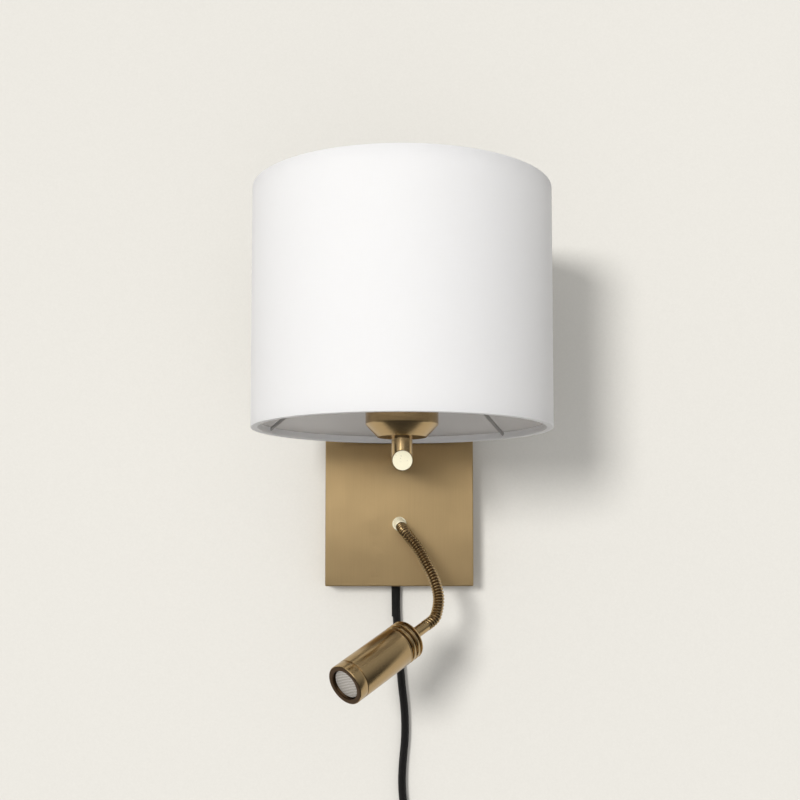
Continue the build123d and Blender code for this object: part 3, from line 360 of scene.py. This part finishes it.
textile = plain_finish("black_textile_braid", (0.006, 0.006, 0.006), 0.8)
shader_of(textile).inputs["Sheen Weight"].default_value = 0.08
shader_of(textile).inputs["Specular IOR Level"].default_value = 0.2
shader_of(textile).inputs["Sheen Roughness"].default_value = 0.4
strand = textile.node_tree.nodes.new("ShaderNodeTexWave")
strand.wave_type = "BANDS"
strand.bands_direction = "DIAGONAL"
strand.inputs["Scale"].default_value = 1.0
textile.node_tree.links.new(coordinates(textile, 0.0020, wrapped=True), strand.inputs["Vector"])
tint(textile, strand.outputs["Fac"], (0.022, 0.020, 0.020), 0.7, 0.2, 0.9)
relief(textile, strand.outputs["Fac"], 0.0002, 0.8)
relief(textile, grain(textile, 0.0006, 3), 0.0001, 0.5)
cord_mesh.materials.clear()
cord_mesh.materials.append(textile)
cord_mesh.shade_smooth()
cord = bpy.data.objects.new("textile_cord", cord_mesh)
scene.collection.objects.link(cord)
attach(cord, "wall_unit")
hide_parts("cord", "cord_coil")


def dress(material, *names):
    """Gives CAD pieces their finish."""
    for name in names:
        for holder in frame["nodes"][name].material_slots:
            holder.material = material


rubber = plain_finish("black_rubber", (0.008, 0.008, 0.008), 0.7)
shader_of(rubber).inputs["Specular IOR Level"].default_value = 0.25
worn(rubber, 0.6, 0.8, 0.0015)
relief(rubber, grain(rubber, 0.0004), 0.00003, 0.5)
dress(rubber, "plug_body", "cord_sleeve", "cord_grommet")
pin_metal = plain_finish("nickel_plate", (0.72, 0.69, 0.64), 0.22, 1.0)
worn(pin_metal, 0.18, 0.32)
dress(pin_metal, "plug_pins")
strap = plain_finish("black_hook_strap", (0.020, 0.020, 0.021), 0.85)
relief(strap, grain(strap, 0.0005), 0.0002, 0.8)
dress(strap, "coil_tie")


# --------------------------------------------------------------------------------------------------
# The wall plate: a square tray pressed from brass sheet, brushed upright and lacquered. It slips over the
# bracket, and two slotted brass screws hold it from the sides.
brass_tone = (0.56, 0.40, 0.205)
line_shade = 0.87
line_share = 0.6
line_relief = 0.7
cloud_shade = 1.09
cloud_share = 0.5
cloud_size = 0.03
cloud_shift = (0.013, 0.0091, 0.0169)
upright_brush = (0.00015, 0.00015, 0.03)
lathe_lines = (0.006, 0.006, 0.0004)


def brass(name, size, rough, spread, depth=0.0, shade=1.0, place=None):
    """Brass with darker tool lines of a given size, paler in clouds and darker overall by a shade."""
    metal = plain_finish(name, [shade * v for v in brass_tone], rough, 1.0)
    lines = grain(metal, size, 3, place)
    cloud = grain(metal, cloud_size, 3, shift=cloud_shift)
    tint(metal, lines, [shade * v * line_shade for v in brass_tone], line_share)
    tint(metal, cloud, [shade * v * cloud_shade for v in brass_tone], cloud_share)
    matt(metal, lines, rough - spread, rough + spread)
    relief(metal, lines, depth, line_relief)
    return metal


plate_brass = brass("brass_brushed_upright", upright_brush, 0.37, 0.03, 0.000004)
shader_of(plate_brass).inputs["Anisotropic"].default_value = 0.88
relief(plate_brass, grain(plate_brass, 0.045, 1), 0.0003)
dress(plate_brass, "wall_plate_cover")
turned_brass = brass("brass_turned_upright", lathe_lines, 0.18, 0.02, shade=0.92)
dress(turned_brass, "cover_screws", "riser_tube", "arm_tube")


# --------------------------------------------------------------------------------------------------
# Inside the plate: a zinc-plated steel bracket on the wall, an LED driver, a terminal block, a saddle clamp
# on the cord and the insulated wires between them. The lamp's own wires run through the arm.
zinc = plain_finish("zinc_plate", (0.62, 0.62, 0.60), 0.38, 1.0)
tint(zinc, grain(zinc, 0.006, 4), (0.70, 0.69, 0.64), 0.8)
worn(zinc, 0.28, 0.48, 0.003, 4)
dress(zinc, "wall_bracket", "terminal_screws", "clamp_screws", "arm_washer", "arm_nut", "arm_nipple")
dress(zinc, "riser_nipple", "riser_nut", "bushing_nut", "lampholder_contact")
white_nylon = plain_finish("white_moulding", (0.78, 0.77, 0.73), 0.45)
worn(white_nylon, 0.38, 0.52)
relief(white_nylon, grain(white_nylon, 0.0006), 0.00003, 0.5)
dress(white_nylon, "led_driver", "terminal_block", "cord_clamp")
insulation = plain_finish("wire_insulation", (0.35, 0.30, 0.24), 0.45)
tint(insulation, grain(insulation, 0.01), (0.42, 0.36, 0.29), 0.6)
dress(insulation, "mains_wires", "driver_leads", "lamp_lead")


# --------------------------------------------------------------------------------------------------
# The arm, its riser and the push switch: two brass tubes, the upright one cut round at its foot and brazed on
# the arm. The switch's disc in the arm's open end and the gooseneck's bushing are pale, little metallic
# brass.
# Nearly white and mostly not metallic: this colour paints the bright highlight of the disc and the bushing.
pale_brass_painted_highlight = plain_finish("brass_pale_painted_highlight", (0.97, 0.92, 0.70), 0.3, 0.25)
worn(pale_brass_painted_highlight, 0.26, 0.36)
dress(pale_brass_painted_highlight, "switch_button", "neck_bushing")
black_nylon = plain_finish("black_moulding", (0.02, 0.02, 0.022), 0.5)
worn(black_nylon, 0.42, 0.6)
dress(black_nylon, "switch_body", "lampholder_base", "lampholder_skirt")


# --------------------------------------------------------------------------------------------------
# The cup and the lampholder: a cup spun from brass sheet, with a flat bottom, a cone and a straight side,
# clamped on the riser by a nut. It hides a black lampholder with a ceramic insulator and a nickelled shell.
weld_gap = 1e-6
sliver = 1e-7
soften_from = math.radians(20)


def turned(outline, place, soften=0.0, steps=96):
    """Spins a closed outline of radii and heights round its axis, softens its edges and puts it in place."""
    shape = bmesh.new()
    corners = [shape.verts.new((radius, 0, height)) for radius, height in outline]
    edges = [shape.edges.new(pair) for pair in zip(corners, corners[1:] + corners[:1])]
    bmesh.ops.spin(
        shape,
        geom=[*corners, *edges],
        cent=(0, 0, 0),
        axis=(0, 0, 1),
        angle=2 * math.pi,
        steps=steps,
        use_merge=True,
    )
    bmesh.ops.remove_doubles(shape, verts=shape.verts, dist=weld_gap)
    bmesh.ops.dissolve_degenerate(shape, edges=shape.edges, dist=sliver)
    bmesh.ops.recalc_face_normals(shape, faces=shape.faces)
    if soften:
        inner = [edge for edge in shape.edges if len(edge.link_faces) == 2]
        bmesh.ops.bevel(
            shape,
            geom=[edge for edge in inner if edge.calc_face_angle(0) > soften_from],
            offset=soften,
            offset_type="OFFSET",
            segments=3,
            profile=0.5,
            affect="EDGES",
            material=-1,
        )
    bmesh.ops.transform(shape, matrix=place, verts=shape.verts)
    return shape


def fitted(piece, body, slot, *stands_for):
    """Puts a new piece on its body and hides the CAD pieces that it stands for; the finish it is given is not
    used.
    """
    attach(piece, body)
    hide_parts(*stands_for)


riser_reach = 0.122
upright = Matrix.Translation((0, -riser_reach, 0))
cup_bottom = 0.0455
cup_edge = 0.0540
cup_top = 0.0795
cup_radius = 0.0243
cup_flat_radius = 0.0162
cup_wall = 0.0012
nipple_hole = 0.0050
cup_soft = 0.0003
cone_lean = math.radians(45)
cup_slant = cup_wall * math.tan(cone_lean / 2)
cup_brass = brass("brass_spun_cup", lathe_lines, 0.24, 0.02, shade=0.85)
cup = shown(
    "holder_cup_spun",
    turned(
        [
            (nipple_hole, cup_bottom),
            (cup_flat_radius, cup_bottom),
            (cup_radius, cup_edge),
            (cup_radius, cup_top),
            (cup_radius - cup_wall, cup_top),
            (cup_radius - cup_wall, cup_edge + cup_slant),
            (cup_flat_radius - cup_slant, cup_bottom + cup_wall),
            (nipple_hole, cup_bottom + cup_wall),
        ],
        upright,
        cup_soft,
    ),
    cup_brass,
)
fitted(cup, "wall_unit", "brushed_brass", "holder_cup")

ceramic = plain_finish("ceramic", (0.80, 0.78, 0.72), 0.3)
worn(ceramic, 0.22, 0.42)
dress(ceramic, "lampholder_insulator")
nickel = plain_finish("nickelled_shell", (0.66, 0.63, 0.58), 0.25, 1.0)
worn(nickel, 0.18, 0.36, (0.01, 0.01, 0.0004))
dress(nickel, "lampholder_shell", "bulb_cap")
dress(black_nylon, "shade_ring")


# --------------------------------------------------------------------------------------------------
# The bulb: a frosted LED globe with a nickelled screw cap, as it comes with the lamp.
frosted = plain_finish("frosted_glass", (0.90, 0.89, 0.86), 0.35)
shader_of(frosted).inputs["Subsurface Weight"].default_value = 0.4
shader_of(frosted).inputs["Subsurface Radius"].default_value = (0.01, 0.01, 0.01)
shader_of(frosted).inputs["Coat Weight"].default_value = 0.3
worn(frosted, 0.28, 0.42, 0.003)
dress(frosted, "bulb_glass")


# --------------------------------------------------------------------------------------------------
# The shade: a drum of white linen-like cloth on a stiff film, with both edges turned in round coated wire
# rings. Three bent spokes hold its fitter ring on the lampholder.
shade_radius = 0.1000
shade_bottom = 0.0510
shade_top = 0.2110
cloth_thick = 0.0005
film_radius = 0.0990
ring_wire_dia = 0.0030
hem_high = 0.0046
hem_out = film_radius - ring_wire_dia
hem_in = hem_out - cloth_thick
cloth_inside = shade_radius - cloth_thick
cloth_soft = 0.00022
shade_steps = 192
thread_tone = (0.91, 0.915, 0.925)


def wrap(piece, centre, radius):
    """A map that wraps the upright piece: round its axis, then along it, in metres."""
    mesh = piece.data
    layer = mesh.uv_layers.new(name="wrap")
    for face in mesh.polygons:
        middle = face.center - centre
        base = math.atan2(middle.y, middle.x)
        for loop in face.loop_indices:
            spot = mesh.vertices[mesh.loops[loop].vertex_index].co - centre
            turn = math.atan2(spot.y, spot.x) - base
            turn = (turn + math.pi) % (2 * math.pi) - math.pi
            out = math.hypot(spot.x, spot.y)
            layer.data[loop].uv = ((base + turn) * radius, spot.z - out)


linen = plain_finish("white_linen", (0.95, 0.96, 0.98), 0.85)
shader_of(linen).inputs["Sheen Weight"].default_value = 0.15
let_through(linen, "ShaderNodeBsdfTranslucent", (0.98, 0.975, 0.98), 0.42)
for size in ((0.00042, 0.02, 1), (0.02, 0.00042, 1)):
    relief(linen, grain(linen, size, wrapped=True), 0.00003, 0.6)
for size in ((0.0005, 0.012, 1), (0.012, 0.0005, 1)):
    tint(linen, grain(linen, size, wrapped=True), thread_tone, 0.5)
cloth_outline = [
    (hem_in, shade_bottom + hem_high),
    (hem_in, shade_bottom),
    (shade_radius, shade_bottom),
    (shade_radius, shade_top),
    (hem_in, shade_top),
    (hem_in, shade_top - hem_high),
    (hem_out, shade_top - hem_high),
    (hem_out, shade_top - cloth_thick),
    (cloth_inside, shade_top - cloth_thick),
    (cloth_inside, shade_bottom + cloth_thick),
    (hem_out, shade_bottom + cloth_thick),
    (hem_out, shade_bottom + hem_high),
]
cloth = shown("shade_cloth", turned(cloth_outline, upright, cloth_soft, shade_steps), linen)
wrap(cloth, upright.to_translation(), shade_radius)
fitted(cloth, "wall_unit", "shade_cloth", "shade_fabric")

film = plain_finish("shade_film", (0.97, 0.955, 0.945), 0.4)
shader_of(film).inputs["Coat Weight"].default_value = 0.1
let_through(film, "ShaderNodeBsdfTransparent", (1.0, 0.995, 0.99), 0.60)
worn(film, 0.3, 0.45, 0.01)
dress(film, "shade_lining")
# The wire rings and spokes are coloured dark grey, which paints the shade on their dark side.
wire_painted_shade = plain_finish("grey_wire_painted_shade", (0.30, 0.29, 0.28), 0.4)
worn(wire_painted_shade, 0.32, 0.5)
dress(wire_painted_shade, "shade_top_ring", "shade_frame")


# --------------------------------------------------------------------------------------------------
# The gooseneck: a brass interlocked hose, wound from strip, that stays where it is bent. It leaves the plate
# through a small turned bushing, and its other end is pressed on the head's stem.
neck_joints = [Vector(joint["pos_m"]) for joint in frame["joints"] if joint["name"] != "button_press"]
head_axis = Vector((-0.653, -0.625, -0.426)).normalized()
head_front = Vector((-0.0375, -0.1255, -0.1173))
head_long = 0.0650
stem_long = 0.0189
hose_straight = 0.0070
hose_way = Vector((0.30, -0.82, -0.49)).normalized()
bushing_front = Vector((0, -0.0220, -0.0088))
ferrule_long = 0.0040
hose_start = bushing_front + hose_way * ferrule_long
head_rear = head_front - head_axis * head_long
hose_end = head_rear - head_axis * stem_long
hose_knots = [hose_start + hose_way * hose_straight, *neck_joints, hose_end - head_axis * hose_straight]
hose_line_steps = 40

hose_line = [hose_start]
for index in range(len(hose_knots) - 1):
    here, there = hose_knots[index], hose_knots[index + 1]
    gap = (there - here).length
    final = index + 2 == len(hose_knots)
    before = hose_knots[index - 1] if index else here - hose_way * gap
    after = there + head_axis * gap if final else hose_knots[index + 2]
    leave = here + (there - before).normalized() * gap / 3
    arrive = there - (after - here).normalized() * gap / 3
    points = interpolate_bezier(here, leave, arrive, there, hose_line_steps)
    hose_line += points if final else points[:-1]
hose_line.append(hose_end)

hose_frames = []  # distance from the start, place, and two directions across the hose
run = 0.0
across = Vector((1, 0, 0))
for index, spot in enumerate(hose_line):
    if index:
        run += (spot - hose_line[index - 1]).length
    ahead = hose_line[min(index + 1, len(hose_line) - 1)]
    behind = hose_line[max(index - 1, 0)]
    along = (ahead - behind).normalized()
    across = (across - along * across.dot(along)).normalized()
    hose_frames.append((run, spot, across, along.cross(across)))
hose_long = run


def along_hose(shape):
    """Bends a straight shape that stands on the origin along the hose's line."""
    for corner in shape.verts:
        height = min(max(corner.co.z, 0.0), hose_long)
        index = next((i for i, f in enumerate(hose_frames) if f[0] >= height), len(hose_frames) - 1)
        low, high = hose_frames[max(index - 1, 0)], hose_frames[index]
        share = (height - low[0]) / (high[0] - low[0]) if high[0] > low[0] else 0.0
        middle = low[1].lerp(high[1], share)
        side = low[2].lerp(high[2], share).normalized()
        up = low[3].lerp(high[3], share).normalized()
        corner.co = middle + side * corner.co.x + up * corner.co.y


hose_turns = 42
hose_pitch = hose_long / hose_turns
hose_steps = 28
hose_weld_gap = 2e-6
groove_radius = 0.00345
rib = [  # share of a turn and radius
    (0.0, 0.0032),
    (0.10, 0.00335),
    (0.20, 0.00385),
    (0.34, 0.0041),
    (0.56, 0.0041),
    (0.70, 0.00385),
    (0.80, 0.00335),
    (0.90, 0.0032),
    (1.0, 0.0032),
]
# Dark bronze paints shade: it darkens the groove floors of the hose and the rear cap and the front ring's lip
# and face. It also colours the baffle.
dark_bronze_and_painted_shade = plain_finish("dark_bronze_and_painted_shade", (0.085, 0.050, 0.026), 0.35, 1.0)
worn(dark_bronze_and_painted_shade, 0.3, 0.42)
hose_brass = brass("brass_hose", 0.004, 0.20, 0.03, shade=0.82)


def hose_piece(low, high):
    """The wound hose between two distances from its start."""
    first = math.floor(low / hose_pitch) - 1
    turns = math.ceil(high / hose_pitch) - first + 1
    shape = bmesh.new()
    corners = [shape.verts.new((radius, 0, (first + share) * hose_pitch)) for share, radius in rib]
    edges = [shape.edges.new(pair) for pair in zip(corners, corners[1:])]
    bmesh.ops.spin(
        shape,
        geom=[*corners, *edges],
        cent=(0, 0, 0),
        axis=(0, 0, 1),
        dvec=(0, 0, hose_pitch / hose_steps),
        angle=2 * math.pi * turns,
        steps=hose_steps * turns,
    )
    bmesh.ops.remove_doubles(shape, verts=shape.verts, dist=hose_weld_gap)
    for height, way in ((low, -1), (high, 1)):
        cut = bmesh.ops.bisect_plane(
            shape,
            geom=[*shape.verts, *shape.edges, *shape.faces],
            plane_co=(0, 0, height),
            plane_no=(0, 0, way),
            clear_outer=True,
            dist=sliver,
        )
        rim = [item for item in cut["geom_cut"] if isinstance(item, bmesh.types.BMEdge)]
        bmesh.ops.edgenet_fill(shape, edges=rim)
    bmesh.ops.recalc_face_normals(shape, faces=shape.faces)
    # The groove floors get dark bronze: painted shade in the grooves.
    for face in shape.faces:
        if face.calc_center_median().xy.length < groove_radius:
            face.material_index = 1
    return shape


def frame_near(place):
    """The hose's frame nearest to a place."""
    return min(hose_frames, key=lambda f: (f[1] - place).length)


joint_runs = [frame_near(joint)[0] for joint in neck_joints]
cuts = [0.0] + [(a + b) / 2 for a, b in zip([0.0] + joint_runs, joint_runs + [hose_long])] + [hose_long]
last_piece = len(cuts) - 2
hose_bodies = ["wall_unit", "neck_2", "neck_3", "neck_4", "neck_5", "neck_6", "reading_head"]
for index in range(len(cuts) - 1):
    shape = hose_piece(cuts[index], cuts[index + 1])
    along_hose(shape)
    part = shown(f"hose_{index + 1}", shape, hose_brass)
    part.data.materials.append(dark_bronze_and_painted_shade)
    if index in (0, last_piece):
        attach(part, hose_bodies[0 if index == 0 else -1])
    else:
        turn = neck_joints[index - 1]
        at = frame_near(turn)
        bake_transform(part)
        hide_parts(f"neck_link_{index}", *(["neck_link_7"] if index == last_piece - 1 else []))


# --------------------------------------------------------------------------------------------------
# The reading head: a brass barrel, brushed lengthwise, with a grooved rear cap screwed in and a front ring
# that holds a baffle and a pressed lens. The grooves and the ring's lip and front face get dark bronze as
# painted shade, and the baffle is dark bronze. Inside are a finned core, the LED on its board and a
# metallised reflector.
head_x = Vector((0, 0, 1)).cross(head_axis).normalized()
head_y = head_axis.cross(head_x)
head_place = Matrix.Translation(head_rear) @ Matrix((head_x, head_y, head_axis)).transposed().to_4x4()
head_radius = 0.0141
head_wall = 0.0015
head_bore = head_radius - head_wall
head_soft = 0.00015
brushed_along = (0.0002, 0.0002, 0.03)
fine_lathe_lines = (0.02, 0.02, 0.0002)
head_brass = brass("brass_brushed_along_head", brushed_along, 0.22, 0.04, 0.000002, 0.80, head_place)
turned_head_brass = brass("brass_turned_head", fine_lathe_lines, 0.17, 0.03, shade=0.80, place=head_place)
stem_brass = brass("brass_turned_stem", fine_lathe_lines, 0.20, 0.03, shade=0.85, place=head_place)
dress(stem_brass, "neck_stem")
face_margin = 0.0002


def painted_shade_faces(piece, chosen):
    """Paints shade as dark bronze on the faces chosen by their distance from the axis, along it, and their
    facing.
    """
    piece.data.materials.append(dark_bronze_and_painted_shade)
    for face in piece.data.polygons:
        spot = face.center - head_rear
        if chosen(spot.cross(head_axis).length, spot.dot(head_axis), face.normal.dot(head_axis)):
            face.material_index = 1


rear_cap_long = 0.0133
rear_cap_end = 0.0025
rear_edge_radius = 0.0019
rear_edge_steps = 5
stem_hole_radius = 0.0040
cap_soft = 0.00012
groove_places = (0.0029, 0.0071, 0.0113)
groove_half = 0.0010
groove_deep = 0.0013
groove_floor = head_radius - groove_deep
groove_flare_out = 0.0001
groove_flare_in = 0.0003
cap_outline = [(stem_hole_radius, 0), (head_radius - rear_edge_radius, 0)]
for step in range(1, rear_edge_steps):
    turn = math.radians(90 * step / rear_edge_steps)
    out = head_radius - rear_edge_radius * (1 - math.sin(turn))
    cap_outline.append((out, rear_edge_radius * (1 - math.cos(turn))))
cap_outline.append((head_radius, rear_edge_radius))
for place in groove_places:
    low, high = place - groove_half, place + groove_half
    cap_outline += [
        (head_radius, low - groove_flare_out),
        (groove_floor, low + groove_flare_in),
        (groove_floor, high - groove_flare_in),
        (head_radius, high + groove_flare_out),
    ]
cap_outline += [
    (head_radius, rear_cap_long),
    (head_bore, rear_cap_long),
    (head_bore, rear_cap_end),
    (stem_hole_radius, rear_cap_end),
]
first_groove, last_groove = groove_places[0] - groove_half, groove_places[-1] + groove_half
rear_cap = shown("head_rear_cap_turned", turned(cap_outline, head_place, cap_soft), turned_head_brass)
# The cap's groove floors get dark bronze: painted shade in the grooves.
painted_shade_faces(
    rear_cap,
    lambda out, along, facing: first_groove < along < last_groove and out < groove_floor + face_margin,
)
fitted(rear_cap, "reading_head", "brushed_brass", "head_rear_cap")

bezel_long = 0.0079
bezel_start = head_long - bezel_long
spigot_gap = 0.0001
spigot_long = 0.0035
spigot_wall = 0.0010
spigot = head_bore - spigot_gap
spigot_start = rear_cap_long - spigot_long
barrel = shown(
    "head_barrel",
    turned(
        [
            (spigot - spigot_wall, spigot_start),
            (spigot, spigot_start),
            (spigot, rear_cap_long),
            (head_radius, rear_cap_long),
            (head_radius, bezel_start),
            (head_bore, bezel_start),
            (head_bore, rear_cap_long + spigot_wall),
            (spigot - spigot_wall, rear_cap_long + spigot_wall),
        ],
        head_place,
        head_soft,
    ),
    head_brass,
)
fitted(barrel, "reading_head", "brushed_brass", "head_body")

bezel_rim = 0.0023
bezel_seam = 0.0005
bezel_chamfer = 0.0004
bezel_lip = 0.0016
lip_thick = 0.0010
front_opening = 0.0106
baffle_long = 0.0026
lens_radius = 0.0110
lens_gap = 0.0001
lens_seat = lens_radius + lens_gap
lens_top = head_long - bezel_lip - baffle_long
bezel = shown(
    "head_front_ring",
    turned(
        [
            (lens_seat, bezel_start),
            (head_radius - bezel_chamfer, bezel_start),
            (head_radius - bezel_chamfer, bezel_start + bezel_seam),
            (head_radius, bezel_start + bezel_seam),
            (head_radius, head_long - bezel_chamfer),
            (head_radius - bezel_chamfer, head_long),
            (front_opening, head_long),
            (front_opening, head_long - lip_thick),
            (head_radius - bezel_rim, head_long - lip_thick),
            (head_radius - bezel_rim, lens_top),
            (lens_seat, lens_top),
        ],
        head_place,
        head_soft,
    ),
    head_brass,
)
inside_reach = front_opening + face_margin / 2
front_start = head_long - face_margin
facing_forward = 0.9
# The ring's inner lip and its front face get dark bronze: painted shade.
painted_shade_faces(
    bezel,
    lambda out, along, facing: out < inside_reach or (facing > facing_forward and along > front_start),
)
fitted(bezel, "reading_head", "brushed_brass", "head_bezel")
dress(dark_bronze_and_painted_shade, "head_baffle")

clear_lens = plain_finish("pressed_lens", (0.80, 0.77, 0.73), 0.16)
shader_of(clear_lens).inputs["Transmission Weight"].default_value = 0.3
shader_of(clear_lens).inputs["IOR"].default_value = 1.49
lens_grid = 0.0038
lens_groove_painted_shade = (0.20, 0.17, 0.14)
# The lens's grid grooves are tinted dark: painted shade in the grooves.
for way in ("X", "Y"):
    ridges = clear_lens.node_tree.nodes.new("ShaderNodeTexWave")
    ridges.bands_direction = way
    ridges.inputs["Scale"].default_value = 1.0
    clear_lens.node_tree.links.new(coordinates(clear_lens, lens_grid, head_place), ridges.inputs["Vector"])
    tint(clear_lens, ridges.outputs["Fac"], lens_groove_painted_shade, 0.8, 0.55, 0.05)
    relief(clear_lens, ridges.outputs["Fac"], 0.0001)
lens_sunk = 0.0018
lens_thick = 0.0020
lens_face = head_long - lens_sunk
lens_bottom = lens_top - lens_thick
lens_crown = 0.0002
lens_flat_radius = 0.0092
lens_front_radius = 0.0100
lens_edge = 0.0004
pressed = shown(
    "lens_pressed_face",
    turned(
        [
            (0.0, lens_face + lens_crown),
            (lens_flat_radius, lens_face),
            (lens_front_radius, lens_face - lens_edge),
            (lens_front_radius, lens_top),
            (lens_radius, lens_top),
            (lens_radius, lens_bottom),
            (0.0, lens_bottom),
        ],
        head_place,
    ),
    clear_lens,
)
fitted(pressed, "reading_head", "lens_glass", "head_lens")
mirror = plain_finish("metallised", (0.90, 0.90, 0.88), 0.15, 1.0)
worn(mirror, 0.12, 0.25)
dress(mirror, "head_reflector")
aluminium = plain_finish("aluminium", (0.72, 0.72, 0.71), 0.4, 1.0)
worn(aluminium, 0.32, 0.48, 0.003)
dress(aluminium, "heat_sink", "led_board")
phosphor = plain_finish("led_phosphor", (0.90, 0.72, 0.18), 0.5)
tint(phosphor, grain(phosphor, 0.001, 3), (0.95, 0.80, 0.30), 0.6)
dress(phosphor, "led_chip")
